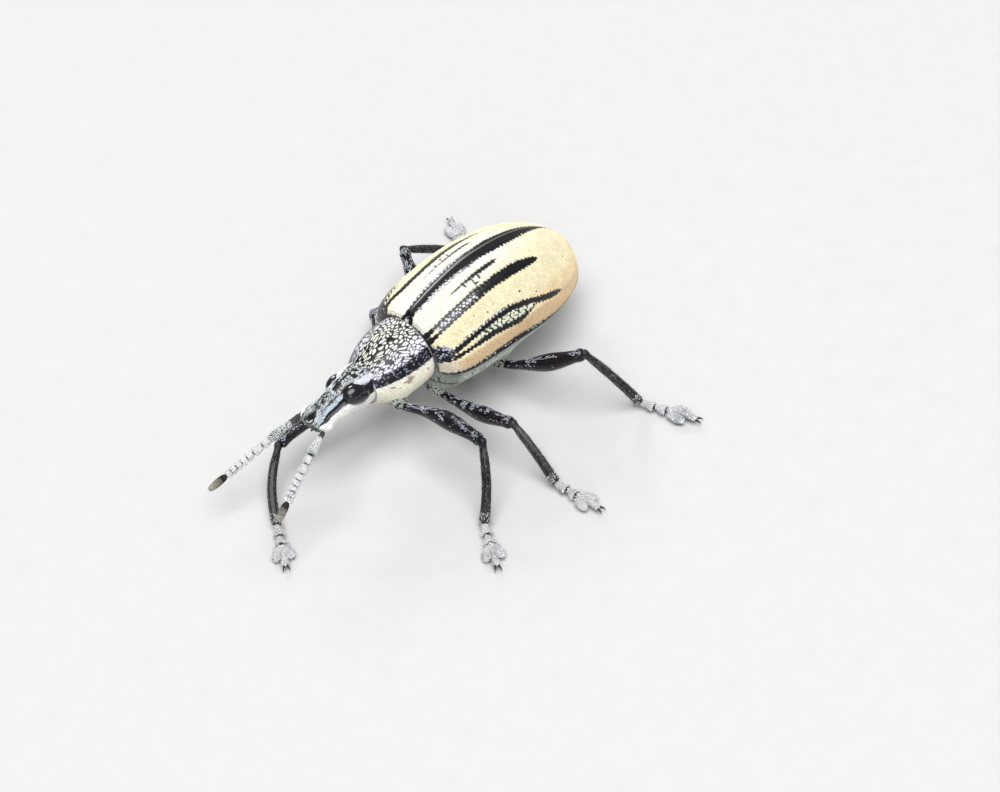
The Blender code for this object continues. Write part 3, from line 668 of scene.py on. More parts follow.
SCALE_LAYS = {
    "elytron": ((0, 1, 0), 0.25, (0.86, 1.08), 0.012, (0.100, 0.128), (0.8, 0.95), 0.012, 0.14,
                (0.02, 0.96, 0.02, 0.46)),
    "pronotum": ((0, -0.6, 0), 0.5, (0.84, 1.1), 0.012, (0.070, 0.095), 0.8, 0.014, 0.15,
                 (0.02, 0.3, 0.02, 0.96)),
    "head": ((0, -1, -0.1), 0.18, (0.82, 1.1), 0.012, (0.062, 0.092), 0.52, 0.012, 0.16,
             (0.1, 0.25, 0.02, 0.96)),
    "underside": ((0, 1, 0), 0.25, (0.85, 1.1), 0, (0.14, 0.18), 0.7, 0.014, 0.14,
                  (0.02, 0.96, 0.02, 1.2)),
}


def plate_coat(name, slot, form, heart, where, picked, tint, rng):
    """Covers a plate with scales at the picked ones of the given places."""
    lie, stray, shades, freckle, lengths, broad, thick, lift, chart = SCALE_LAYS[slot]
    where, tint = [part[picked] for part in where], tint[picked]
    a, b = where[:2]
    count = len(a)
    roots, normals = form(*where), outward(form, a, b, heart)
    lie = np.array(lie) + rng.normal(0, stray, (count, 3))
    tint = tint * rng.uniform(*shades, (count, 1))
    if freckle:
        tint = tint + rng.normal(0, freckle, (count, 3))
    length = rng.uniform(*lengths, count)
    width = length * (rng.uniform(*broad, count) if isinstance(broad, tuple) else broad)
    places = np.stack((chart[0] + chart[1] * a, chart[2] + chart[3] * b), -1)
    batch = scales(roots, normals, lie, length, width, thick, lift, np.clip(tint, 0, PALEST), places)
    coat(name, [batch], IN_BODY, SCALES, slot)


# Finishes

def group_of(name, inputs, outputs):
    """A shader node group with named inputs and outputs."""
    tree = bpy.data.node_groups.new(name, "ShaderNodeTree")
    for label, kind, value in inputs:
        socket = tree.interface.new_socket(name=label, in_out="INPUT", socket_type=kind)
        socket.default_value = value
    for label, kind in outputs:
        tree.interface.new_socket(name=label, in_out="OUTPUT", socket_type=kind)
    return tree, tree.nodes.new("NodeGroupInput"), tree.nodes.new("NodeGroupOutput")


def node(tree, kind, links=None, **settings):
    """Adds a node, sets its fields, and feeds its inputs by name or number."""
    made = tree.nodes.new(kind)
    for key, value in settings.items():
        setattr(made, key, value)
    for key, value in (links or {}).items():
        if isinstance(value, bpy.types.NodeSocket):
            tree.links.new(value, made.inputs[key])
        else:
            made.inputs[key].default_value = value
    return made


def build_surface_grain():
    """Fine pits and grain, and slow changes of tone, for every hard or scaly finish."""
    tree, given, out = group_of(
        "surface_grain",
        (("Grain Scale", "NodeSocketFloat", 9000.0), ("Tone Scale", "NodeSocketFloat", 900.0)),
        (("Height", "NodeSocketFloat"), ("Tone", "NodeSocketFloat")))
    where = node(tree, "ShaderNodeTexCoord").outputs["Object"]
    fine = node(tree, "ShaderNodeTexNoise", {"Vector": where, "Scale": given.outputs[0], "Detail": 3.0})
    pit = node(tree, "ShaderNodeTexVoronoi", {"Vector": where, "Scale": given.outputs[0]})
    deep = node(tree, "ShaderNodeMapRange", {"Value": pit.outputs["Distance"], 1: 0.0, 2: 0.45})
    height = node(tree, "ShaderNodeMath", {0: fine.outputs[0], 1: deep.outputs[0]}, operation="ADD")
    slow = node(tree, "ShaderNodeTexNoise", {"Vector": where, "Scale": given.outputs[1], "Detail": 4.0})
    tone = node(tree, "ShaderNodeMapRange", {"Value": slow.outputs[0], 1: 0.3, 2: 0.7})
    tree.links.new(height.outputs[0], out.inputs[0])
    tree.links.new(tone.outputs[0], out.inputs[1])
    return tree


def finish_base(name, grain_scale, tone_scale):
    """A new finish with the shared grain in it."""
    made = bpy.data.materials.new(name)
    made.use_nodes = True
    tree = made.node_tree
    relief = node(tree, "ShaderNodeGroup", {0: grain_scale, 1: tone_scale}, node_tree=GRAIN)
    return made, tree, tree.nodes["Principled BSDF"], relief


def drive(tree, source, low, high, target):
    """Feeds an input with a value from 0 to 1 that is spread from low to high."""
    spread = node(tree, "ShaderNodeMapRange", {"Value": source, 3: low, 4: high})
    tree.links.new(spread.outputs[0], target)


def own_colour(tree, shader, relief, low, high):
    """The colour stored with the piece, its tone changing slowly between low and high."""
    tint = node(tree, "ShaderNodeAttribute", attribute_name="tint")
    colour = node(tree, "ShaderNodeVectorMath", {0: tint.outputs["Color"]}, operation="SCALE")
    drive(tree, relief.outputs["Tone"], low, high, colour.inputs["Scale"])
    tree.links.new(colour.outputs[0], shader.inputs["Base Color"])


def two_tones(tree, shader, relief, dark, light, smooth, rough):
    """Two colours, and two roughnesses, that change slowly along the surface."""
    tone = relief.outputs["Tone"]
    colour = node(tree, "ShaderNodeMix", {0: tone, 6: (*dark, 1.0), 7: (*light, 1.0)}, data_type="RGBA")
    tree.links.new(colour.outputs[2], shader.inputs["Base Color"])
    drive(tree, tone, smooth, rough, shader.inputs["Roughness"])


def round_off(tree, shader, values, height, distance, strength):
    """Sets plain inputs of the shader and its fine relief."""
    for key, value in values.items():
        shader.inputs[key].default_value = value
    relief = node(tree, "ShaderNodeBump", {"Height": height, "Strength": strength, "Distance": distance})
    tree.links.new(relief.outputs[0], shader.inputs["Normal"])


def plate_finish():
    """Skin of the body's plates: gloss where bare, matt and coloured under the scales."""
    made, tree, shader, relief = finish_base("plate_cuticle", 7000.0, 700.0)
    own_colour(tree, shader, relief, 0.75, 1.15)
    bare = node(tree, "ShaderNodeAttribute", attribute_name="bare").outputs["Fac"]
    drive(tree, bare, 0.75, 0.30, shader.inputs["Roughness"])
    drive(tree, bare, 0.0, 0.12, shader.inputs["Coat Weight"])
    values = {"Coat Roughness": 0.12, "Specular IOR Level": 0.28}
    round_off(tree, shader, values, relief.outputs["Height"], 0.000012, 0.7)
    return made


def scale_finish(name, roughness, sheen):
    """Powdery scales that carry their own colour each."""
    made, tree, shader, relief = finish_base(name, 26000.0, 1500.0)
    own_colour(tree, shader, relief, 0.90, 1.06)
    values = {"Roughness": roughness, "Sheen Weight": sheen}
    round_off(tree, shader, values, relief.outputs["Height"], 0.000003, 0.6)
    return made


def limb_finish(name, dark, light, roughness, gloss=0.0, grain_scale=9000.0, depth=0.000008):
    """Cuticle of limbs and feelers in two tones that change slowly along the surface."""
    made, tree, shader, relief = finish_base(name, grain_scale, 900.0)
    two_tones(tree, shader, relief, dark, light, roughness * 0.8, roughness * 1.25)
    values = {"Coat Weight": gloss, "Coat Roughness": 0.1, "Specular IOR Level": 0.22}
    round_off(tree, shader, values, relief.outputs["Height"], depth, 0.6)
    return made


def eye_finish():
    """Glossy black with a violet cast and close rows of tiny facets."""
    made, tree, shader, relief = finish_base("eye_facets", 30000.0, 1200.0)
    where = node(tree, "ShaderNodeTexCoord").outputs["Object"]
    facet = node(tree, "ShaderNodeTexVoronoi", {"Vector": where, "Scale": 24000.0, "Randomness": 0.25})
    two_tones(tree, shader, relief, (0.0015, 0.0012, 0.0020), (0.0060, 0.0030, 0.0050), 0.20, 0.32)
    values = {"Coat Weight": 1.0, "Coat Roughness": 0.08, "Specular IOR Level": 0.16,
              "Specular Tint": (0.72, 0.84, 1.0, 1.0)}
    round_off(tree, shader, values, facet.outputs["Distance"], -0.000003, 0.4)
    return made


GRAIN = build_surface_grain()
PLATE = plate_finish()
SCALES = scale_finish("powdery_scales", 0.62, 0.15)
HAIRS = scale_finish("pale_hairs", 0.5, 0.0)
EYE = eye_finish()
FELT = scale_finish("club_felt", 0.8, 0.1)
FEMUR = limb_finish(
    "thigh_cuticle", (0.002, 0.002, 0.004), (0.007, 0.003, 0.005), 0.18, 0.25, 6000.0, 0.000025)
COXA = limb_finish("hip_cuticle", (0.010, 0.010, 0.011), (0.045, 0.04, 0.035), 0.45, 0.1)
TIBIA = limb_finish("shin_cuticle", (0.004, 0.004, 0.006), (0.018, 0.017, 0.019), 0.32, 0.2, 8000.0, 0.00002)
TARSUS = limb_finish("foot_pads", (0.22, 0.22, 0.23), (0.52, 0.52, 0.52), 0.75, 0.0, 20000.0, 0.00001)
CLAW = limb_finish("claw_horn", (0.010, 0.008, 0.008), (0.06, 0.032, 0.022), 0.25, 0.3)
SPUR = limb_finish("spur_horn", (0.22, 0.14, 0.09), (0.58, 0.44, 0.32), 0.35, 0.2)
SCAPE = limb_finish("feeler_shaft_cuticle", (0.012, 0.012, 0.014), (0.07, 0.07, 0.07), 0.4, 0.1)
BEAD = limb_finish("bead_cuticle", (0.32, 0.32, 0.33), (0.60, 0.60, 0.60), 0.6, 0.0, 16000.0)
JOINT = limb_finish("joint_skin", (0.006, 0.005, 0.005), (0.030, 0.022, 0.018), 0.5)


def dress(obj, finish, slot, body="root"):
    """Gives a piece its finish and its body; the slot is not used."""
    if finish is not None:
        obj.data.materials.clear()
        obj.data.materials.append(finish)
    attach(obj, body)


place_camera()

SIDES = {"left": 1, "right": -1}


# Wing covers with their scales

COVER_ROWS = 205
COVER_WALL = 0.14


def make_cover(word, side):
    def form(t, v):
        return cover_form(t, v, side)

    def laid(t, v):
        normal = outward(form, np.clip(t, 0.001, 0.998), np.clip(v, 0.001, 0.999), heart_of_covers)
        bare, _ = cover_marks(t, v, side)
        depth, _ = pits(t, v)
        height = -0.022 * depth * bare - 0.008 * bare
        height += 0.025 * ramp(0.012 - v, 0.0, 0.008) * ramp(0.9 - t, 0.0, 0.1)
        height += 0.030 * ramp(v, 0.972, 0.985)
        return form(t, v) + normal * height[:, None]

    obj, t, v = draped("cover_" + word, [even_lengths(231)], 110, laid)
    bare, tint = cover_marks(t, v, side)
    # A painted highlight on the raised lip along the seam: a thin pale line, whiter at the front and browner
    # further back
    lip = ramp(0.006 - v, 0.0, 0.004) * ramp(t, 0.03, 0.08)
    seam_highlight = blend_colours((0.74, 0.70, 0.72), (0.34, 0.28, 0.23), ramp(t, 0.15, 0.50))
    finish_skin(obj, bare * (1 - 0.55 * lip), blend_colours(tint, seam_highlight, lip), COVER_WALL)
    dress(obj, PLATE, "elytron")
    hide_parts("elytron_" + word)

    spacing = 0.068
    rows = even_lengths(COVER_ROWS)
    rows = rows[(rows > 0.010) & (rows < 0.997)]
    t, v, rng = even_rows(form, rows, spacing / COVER_LENGTH, spacing, 40 + side, 0.006, 0.988)
    bare, tint = cover_marks(t, v, side, 0.007)
    depth, lot = pits(t, v)
    picked = (bare < 0.5) & ~((depth > 0.5) & (lot > 0.94))
    plate_coat("cover_scales_" + word, "elytron", form, heart_of_covers, (t, v), picked, tint, rng)


for word, side in SIDES.items():
    make_cover(word, side)


# Shield

SHIELD_LENGTH = 3.0
SHIELD_REAR = 0.02


def turn_at(b):
    """The turn round a long axis for a share once round it from below; the top is at 0."""
    return (b - 0.5) * 2 * math.pi


def shield_axis(a):
    """Where the shield's axis is, along y and z."""
    y = SHIELD_REAR - (SHIELD_LENGTH + SHIELD_REAR) * a
    return y, -1.42 + 0.10 * y


def shield_form(a, b, relief=0.0):
    """a runs from the rear rim (0) to the front rim (1), b once round from below."""
    turn = turn_at(b)
    share = np.clip(a, 0.0, 1.0)
    wide = 1.90 - 0.87 * share ** 2.6 - 0.07 * (1 - share) ** 6 - 0.03 + relief
    high = 1.68 - 0.65 * share ** 2.6 - 0.07 * (1 - share) ** 6 - 0.03 + relief
    y, axis_height = shield_axis(a)
    return np.stack((wide * np.sin(turn), y, axis_height + high * np.cos(turn)), -1)


def shield_heart(a, b):
    y, axis_height = shield_axis(a)
    return np.stack((0 * y, y, axis_height), -1)


def shield_marks(a, b):
    """Bareness, scale colour and height of the shield's worm-like sculpture."""
    turn = turn_at(b)
    around = turn * 1.75
    y = a * SHIELD_LENGTH
    p = y + 0.45 * np.sqrt(around ** 2 + 0.04) + 0.20 * (cloud(around * 2.4, y * 2.4, 61) - 0.5)
    q = around + 0.28 * (cloud(around * 1.9 + 9, y * 2.1, 62) - 0.5)
    first, second, _ = cells(p / 0.30, q / 0.160, 70, 0.95)
    middle_away, _, number = cells(y / 0.17, around / 0.13, 75, 0.9)
    gap = second - first
    side = np.abs(turn)
    thick = 0.12 * ramp(0.75 - side, 0.0, 0.45)
    bare = 1 - ramp(gap - thick, 0.11, 0.26)
    band = ramp(side + 0.07 * (cloud(around * 3, y * 3, 33) - 0.5), 0.89, 0.95) * ramp(1.31 - side, 0.0, 0.06)
    bare = np.maximum(bare, band * ((number > 0.75) | (middle_away > 0.30)))
    below = ramp(side, 1.26, 1.36)
    bare = bare * (1 - 0.95 * below) + below * ramp(cloud(around * 5, y * 5, 44), 0.93, 0.97)
    ragged = cloud(around * 9, y * 9, 46)
    spot = np.hypot((y - 1.85) / 0.62, (side - 1.46) / 0.15)
    smudge = ramp(1.2 - spot, 0.0, 0.4) * ramp(0.2 * ragged + 0.8 * cloud(around * 5, y * 4, 47), 0.55, 0.62)
    rim = np.maximum(ramp(a, 0.980, 0.986), ramp(0.018 - a, 0.0, 0.006))
    bare = bare * (1 - rim)
    tint = layered(
        (0.92, 0.91, 0.82),
        ((0.85, 0.85, 0.92), ramp(side, 0.25, 0.7)),
        ((0.30, 0.31, 0.42), band),
        ((0.92, 0.88, 0.73), below),
        ((0.30, 0.20, 0.12), smudge * 0.85),
        ((0.52, 0.50, 0.52), rim))
    height = 0.040 * ramp(bare, 0.2, 0.8) * (1 - below) - 0.016 + 0.020 * rim
    # Swellings over the seats of the fore legs
    seat = np.hypot((y - 1.90) / 0.55, (side - 2.25) / 0.42)
    height += 0.20 * np.exp(-seat ** 2)
    return np.clip(bare, 0, 1), tint, height, rim


def make_shield():
    # The skin turns in over both rims; shrink draws those rings towards the axis
    profile = np.concatenate(((0.03, 0.004, 0.0), np.linspace(0, 1, 191), (1.004, 1.002, 0.985, 0.93)))
    shrink = np.concatenate(((0.80, 0.86, 0.97), np.ones(191), (0.97, 0.93, 0.925, 0.92)))

    def laid(a, size, b):
        height = np.where(size == 1.0, shield_marks(a, b)[2], 0.0)
        heart = shield_heart(a, b)
        return heart + (shield_form(a, b, height) - heart) * size[:, None]

    obj, a, b = draped("shield", [profile, shrink], 340, laid)
    bare, tint, _, _ = shield_marks(a, b)
    finish_skin(obj, bare, tint)
    dress(obj, PLATE, "pronotum")
    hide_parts("pronotum")

    spacing = 0.054
    rows = np.linspace(0.012, 0.985, int(SHIELD_LENGTH / spacing / 0.9))
    a, b, rng = even_rows(shield_form, rows, spacing / SHIELD_LENGTH, spacing, 51)
    bare, tint, height, rim = shield_marks(a, b)
    picked = (bare < 0.25) & (rim < 0.5)
    plate_coat("shield_scales", "pronotum", shield_form, shield_heart, (a, b, height), picked, tint, rng)


make_shield()


# Head and snout

HEAD_BASE = -3.2
HEAD_TIP = 3.07
HEAD_STATIONS = np.array((
    (-0.60, 0.93, 0.92), (0.00, 0.94, 0.93), (0.45, 0.91, 0.89), (1.00, 0.84, 0.79),
    (1.60, 0.77, 0.65), (2.20, 0.73, 0.52), (2.65, 0.76, 0.46), (2.90, 0.70, 0.36),
    (3.02, 0.56, 0.27), (3.06, 0.40, 0.18), (3.07, 0.02, 0.01)))


def head_sizes(along):
    soft = np.zeros((2,) + np.shape(along))
    for lag in (-0.12, -0.06, 0.0, 0.06, 0.12):
        where = np.where(along < 2.75, along + lag, along)
        soft += np.array([np.interp(where, HEAD_STATIONS[:, 0], HEAD_STATIONS[:, k]) for k in (1, 2)])
    return soft / 5


def signed_power(value, exponent):
    return np.sign(value) * np.abs(value) ** exponent


def head_axis(a):
    """Where the head's axis is, along y and z."""
    return HEAD_BASE - a, -1.60 - 0.12 * a


def head_form(a, b, relief=0.0):
    """a is the distance forward from the head's base, b goes once round from below."""
    turn = turn_at(b)
    wide, high = head_sizes(a)
    lean = 1 - 0.16 * ramp(a, 1.0, 2.4) * ramp(-np.cos(turn), 0.0, 1.0)
    x = (wide + relief) * signed_power(np.sin(turn), 0.85)
    z = (high + relief) * signed_power(np.cos(turn), 0.9) * lean
    y, axis_height = head_axis(a)
    return np.stack((x, y, axis_height + z), -1)


def head_heart(a, b):
    return np.stack((0 * a, head_axis(np.minimum(a, 2.7))[0], head_axis(a)[1]), -1)


def head_marks(a, b):
    """Bareness, scale colour and height over the head and snout."""
    turn = turn_at(b)
    side = np.abs(turn)
    streak = cloud(a * 2.6, turn * 12 + 0.8 * cloud(a * 3, turn * 3, 4), 15)
    speck = cloud(a * 12, turn * 14, 16)
    first, second, number = cells(
        a / 0.20 + 0.7 * cloud(a * 4, turn * 5, 23), turn / 0.12 + 0.7 * cloud(a * 5, turn * 6, 25), 24, 0.9)
    # The top and the right side of the head are darker, greener and barer than its left side
    darker = ramp(0.30 - turn, 0.0, 0.4)
    net = 1 - ramp(second - first, 0.10 + 0.10 * darker, 0.26 + 0.14 * darker)
    bare = np.maximum(net, number < 0.10 + 0.16 * darker)
    # Fine dark lines along the snout: one each side of the middle keel
    line = bell(side - 0.30 - 0.05 * ramp(a, 1, 2.6), 0.055) * ramp(a, 0.5, 0.9)
    keel = bell(side, 0.06) * ramp(a, 0.3, 1.0)
    bare = np.maximum(bare, ramp(line, 0.3, 0.6) * (0.4 + 0.6 * ramp(streak, 0.3, 0.5)))
    # Pale ridges run out to the tip on both sides of the dark notch over the mouth
    ridge = ramp(a, 2.40, 2.60) * ramp(0.98 - side, 0.0, 0.08)
    bare = bare * (1 - 0.5 * ridge)
    notch = ramp((a - 2.46) * 0.85 - side + 0.08 * (speck - 0.5), 0.0, 0.05)
    bare = np.maximum(bare, notch)
    # White brow over the eye and pale blue field beside the snout's groove
    brow = bell(side - 0.55 + 0.20 * (a - 0.6), 0.22) * ramp(1.5 - a, 0.0, 0.3)
    field = bell(side - 0.58, 0.16) * ramp(a, 1.0, 1.3) * ramp(2.7 - a, 0.0, 0.3)
    bare = bare * (1 - 0.97 * ramp(brow + 0.3 * (speck - 0.5), 0.45, 0.7))
    bare = bare * (1 - 0.60 * ramp(field + 0.5 * (streak - 0.5), 0.30, 0.9))
    # The groove for the feeler, from the eye to near the snout's tip
    course = 0.96 + 0.28 * ramp(a, 2.2, 2.95) - 0.05 * ramp(1.8 - a, 0.0, 0.5)
    groove = bell(side - course, 0.22) * ramp(a, 1.12, 1.30) * ramp(3.0 - a, 0.0, 0.1)
    bare = np.maximum(bare, ramp(groove + 0.22 * (speck - 0.5), 0.24, 0.42))
    # Dark round and behind the eye
    behind = ramp(side, 0.88, 0.96) * ramp(1.60 - side, 0.0, 0.10) * ramp(0.80 - a, 0.0, 0.15)
    bare = np.maximum(bare, behind)
    below = ramp(side, 1.19, 1.29)
    pale = below * (1 - ramp(cloud(a * 8, turn * 6, 19), 0.74, 0.80) * 0.9)
    bare = np.where((below > 0.5) & (behind < 0.5), np.minimum(bare, 1 - pale), bare)
    tip = ramp(a + 0.06 * (speck - 0.5), 2.90, 2.94) * ramp(1.3 - side + 0.3 * (speck - 0.5), 0.0, 0.1)
    wide, high = head_sizes(a)
    patchy = ramp(cloud(12 * wide * np.sin(turn) + 40, 14 * high * np.cos(turn) + 9 * a, 17), 0.40, 0.50)
    bare = np.where(tip > 0.5, patchy, bare)
    lip = ramp(a, 2.90, 2.95) * ramp(side, 1.05, 1.25)
    bare = np.maximum(bare, lip * ramp(speck, 0.30, 0.42))
    tint = layered(
        (0.72, 0.74, 0.75),
        ((0.50, 0.57, 0.66), cloud(a * 3, turn * 4, 20)),
        ((0.56, 0.61, 0.55), darker * 0.8),
        ((0.80, 0.79, 0.85), brow),
        ((0.60, 0.70, 0.82), field * 0.8),
        ((0.92, 0.92, 0.87), below),
        ((0.50, 0.52, 0.50), ramp(a, 2.86, 2.98)))
    height = -0.10 * groove + 0.040 * keel * ramp(2.8 - a, 0.0, 0.2) - 0.025 * line
    height += 0.022 * (1 - bare) * (1 - groove)
    height += 0.07 * np.exp(-((side - 0.66) / 0.20) ** 2 - ((a - 0.50) / 0.50) ** 2)
    # The cheek's bulge below the groove and the dip of the mouth
    height += 0.20 * np.exp(-((a - 2.55) / 0.25) ** 2 - ((side - 1.62) / 0.34) ** 2)
    height -= 0.11 * notch
    return np.clip(bare, 0, 1), tint, height


EYE_SEATS = {1: (0.600, -3.785, -1.370), -1: (-0.570, -3.785, -1.470)}
EYE_HALF = (0.47, 0.77, 0.53)
EYE_TILT = math.radians(-20)


def make_head():
    distances = np.concatenate((np.linspace(-0.55, 2.70, 131), closing(2.70, 0.37, 26)))

    def laid(a, b):
        height = head_marks(a, b)[2]
        height = np.where(a > 2.95, height * (HEAD_TIP - a) / 0.12, height)
        return head_form(a, b, height)

    obj, a, b = draped("head_shell", [distances], 240, laid)
    bare, tint, _ = head_marks(a, b)
    finish_skin(obj, bare, tint)
    dress(obj, PLATE, "head")
    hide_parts("head")

    spacing = 0.043
    a, b, rng = even_rows(head_form, np.linspace(-0.18, 3.0, int(3.2 / spacing)), spacing, spacing, 61)
    bare, tint, height = head_marks(a, b)
    picked = bare < 0.45
    # No scales on the eyes
    for seat in EYE_SEATS.values():
        offset = head_form(a, b, height) - np.array(seat)
        turned = np.stack((
            offset[:, 0] / EYE_HALF[0],
            (offset[:, 1] * math.cos(EYE_TILT) + offset[:, 2] * math.sin(EYE_TILT)) / EYE_HALF[1],
            (-offset[:, 1] * math.sin(EYE_TILT) + offset[:, 2] * math.cos(EYE_TILT)) / EYE_HALF[2]), -1)
        picked &= np.linalg.norm(turned, axis=1) > 1.02
    plate_coat("head_scales", "head", head_form, head_heart, (a, b, height), picked, tint, rng)


def make_eye(word, side):
    """A facetted dome in a thin raised socket."""
    seat = Vector(EYE_SEATS[side])
    eye = ball("eye_dome_" + word, seat, EYE_HALF, (EYE_TILT, 0.0, 0.0), 72, 44)
    settle(eye, IN_BODY)
    dress(eye, EYE, "eye")
    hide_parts("eye_" + word)
    deselect()
    bpy.ops.mesh.primitive_torus_add(
        major_segments=48, minor_segments=8, major_radius=1.0, minor_radius=0.075,
        rotation=(0.0, math.pi / 2, 0.0))
    rim = bpy.context.object
    bpy.ops.object.transform_apply(location=False, rotation=True, scale=False)
    tilt = Matrix.Rotation(EYE_TILT, 4, "X")
    lean = (Matrix.Rotation(side * math.radians(-14), 4, "Y")
            @ Matrix.Rotation(side * math.radians(-8), 4, "Z"))
    sized = Matrix.Diagonal((0.6, EYE_HALF[1], EYE_HALF[2], 1.0))
    settle(rim, Matrix.Translation(seat - Vector((side * 0.05, 0.0, 0.0))) @ lean @ tilt @ sized)
    rim.data.shade_smooth()
    settle(named(rim, "eye_socket_" + word), IN_BODY)
    dress(rim, COXA, "head")


make_head()
for word, side in SIDES.items():
    make_eye(word, side)


def make_mouth():
    """Two short dark jaws that meet under the notched edge of the snout, and two palps."""
    parts = []
    for side in (1, -1):
        jaw = drawn_limb("jaw", (
            (-0.10, 0.13, 0.10), (0.0, 0.15, 0.12), (0.12, 0.13, 0.11), (0.20, 0.09, 0.08),
            (0.25, 0.04, 0.04), (0.26, 0.015, 0.015)), 12)
        parts.append(lay_down(jaw, (side * 0.24, -6.06, -2.02), (side * 0.06, -6.34, -2.10)))
    for side in (1, -1):
        palp = drawn_limb("palp", ((0.0, 0.05), (0.08, 0.06), (0.16, 0.05), (0.20, 0.02)), 8)
        parts.append(lay_down(palp, (side * 0.14, -6.10, -2.20), (side * 0.12, -6.30, -2.30)))
    mouth = joined("jaws", parts)
    settle(mouth, IN_BODY)
    dress(mouth, CLAW, "head")


make_mouth()


# Underside

def belly_front(t):
    share = np.minimum(1.0, COVER_LENGTH * t / 1.3)
    return 0.84 + 0.16 * np.sin(math.pi / 2 * share)


def belly_depth(t):
    return 1.62 * belly_front(t) * np.maximum(0.05, 1 - t ** 3.2) ** 0.6


def belly_form(t, b, relief=0.0):
    """t runs rearwards, b once round: the first half is the belly, the rest is hidden."""
    turn = b * 2 * math.pi
    wide = np.maximum(0.22, (cover_width(t) - 0.27) * belly_front(t)) + relief
    low = -np.sin(turn)
    edge = margin_height(t) + 0.10
    hidden = np.maximum(0.1, 0.35 * cover_rise(np.minimum(t, 0.93)))
    deep = np.where(low < 0, belly_depth(t) + 0.27 + relief, hidden)
    z = edge + deep * signed_power(low, 0.92)
    return np.stack((-wide * signed_power(np.cos(turn), 0.9), COVER_LENGTH * t, z), -1)


def belly_heart(t, b):
    return np.stack((0 * t, COVER_LENGTH * t, margin_height(t) + 0.1), -1)


BELLY_JOINTS = (4.4, 6.35, 7.75, 8.5, 9.25)


def belly_marks(t, b):
    """Bareness, scale colour and height of the underside's plates."""
    y = COVER_LENGTH * t
    groove = np.zeros_like(t)
    for joint in BELLY_JOINTS:
        groove = np.maximum(groove, bell(y - joint, 0.06))
    slope = np.abs(b * 2 - 0.5)
    plate = bell(slope - 0.33, 0.012) * ramp(4.4 - y, 0.0, 0.2)
    bare = np.maximum(ramp(groove, 0.5, 0.8), ramp(cloud(y * 6, b * 40, 77), 0.84, 0.90) * 0.8)
    bare = np.maximum(bare, plate)
    tint = layered(
        (0.52, 0.58, 0.48),
        ((0.74, 0.77, 0.70), cloud(y * 2, b * 12, 78)),
        ((0.20, 0.21, 0.20), ramp(1.0 - y, 0, 0.4) * 0.6))
    height = -0.07 * groove - 0.04 * plate
    # The body swells over the seats of the middle and hind legs and along its flanks
    for place_y, reach in ((0.45, 0.65), (4.00, 0.60)):
        seat = np.hypot((y - place_y) / reach, (slope - 0.23) / 0.085)
        height += 0.30 * np.exp(-seat ** 2)
    height += 0.13 * bell(slope - 0.40, 0.10) * ramp(4.6 - y, 0.0, 1.0)
    return bare, tint, height


def make_underside():
    # Both ends are closed by rings drawn in to the axis
    stops = np.concatenate(((0.004,), np.linspace(0.004, 0.9, 171), closing(0.9, 0.065, 14), (0.968,)))
    shrink = np.concatenate(((0.01,), np.ones(184), (0.85, 0.01)))

    def laid(t, size, b):
        heart = belly_heart(t, b)
        return heart + (belly_form(t, b, belly_marks(t, b)[2]) - heart) * size[:, None]

    obj, t, b = draped("underside", [stops, shrink], 180, laid)
    bare, tint, _ = belly_marks(t, b)
    finish_skin(obj, bare, tint)
    dress(obj, PLATE, "underside")
    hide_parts("thorax_underside", "abdomen")

    spacing = 0.105
    rows = np.linspace(0.012, 0.95, int(COVER_LENGTH / spacing / 0.85))
    t, b, rng = even_rows(belly_form, rows, spacing / COVER_LENGTH, spacing, 81, 0.005, 0.495)
    bare, tint, height = belly_marks(t, b)
    plate_coat(
        "underside_scales", "underside", belly_form, belly_heart, (t, b, height), bare < 0.5, tint, rng)


make_underside()

plate = drawn_limb("small_shield", (
    (-0.45, 0.13, 0.14, 0, 0.20), (0.14, 0.15, 0.19, 0, 0.20), (0.22, 0.14, 0.18, 0, 0.20),
    (0.25, 0.115, 0.155, 0, 0.20), (0.265, 0.095, 0.125, 0, 0.20), (0.262, 0.075, 0.10, 0, 0.20),
    (0.255, 0.05, 0.07, 0, 0.20), (0.25, 0.02, 0.03, 0, 0.20)), 32)
spots, _ = surface_points(plate)
from_middle = np.hypot(spots[:, 0] / 0.13, (spots[:, 1] - 0.20) / 0.17)
paint(plate.data, ramp(0.62 - from_middle, 0.0, 0.15), np.tile((0.74, 0.71, 0.72), (len(spots), 1)))
settle(plate, IN_BODY)
dress(plate, PLATE, "scutellum")
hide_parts("scutellum")


# Limbs

LIMB_AXIS = np.array((0.0, 0.0, 1.0))


def limb_points(stations, share, turn):
    """Places and normals on a drawn limb, for shares of its length and turns round it."""
    rows = np.array(filled(stations))
    height = rows[0, 0] + (rows[-1, 0] - rows[0, 0]) * share
    wide, deep, aside, across = (np.interp(height, rows[:, 0], rows[:, k]) for k in (1, 2, 3, 4))
    x, y = aside + 0.985 * wide * np.cos(turn), across + 0.985 * deep * np.sin(turn)
    normals = unit(np.stack((np.cos(turn) / wide, np.sin(turn) / deep, 0 * turn), -1))
    return np.stack((x, y, height), -1), normals


def limb_chart(start, reach, share, turn):
    """Places of scales or hairs on a limb's map."""
    return np.stack((start + reach * share, 0.5 + 0.07 * turn), -1)


def any_turn(rng, number):
    return rng.uniform(-math.pi, math.pi, number)


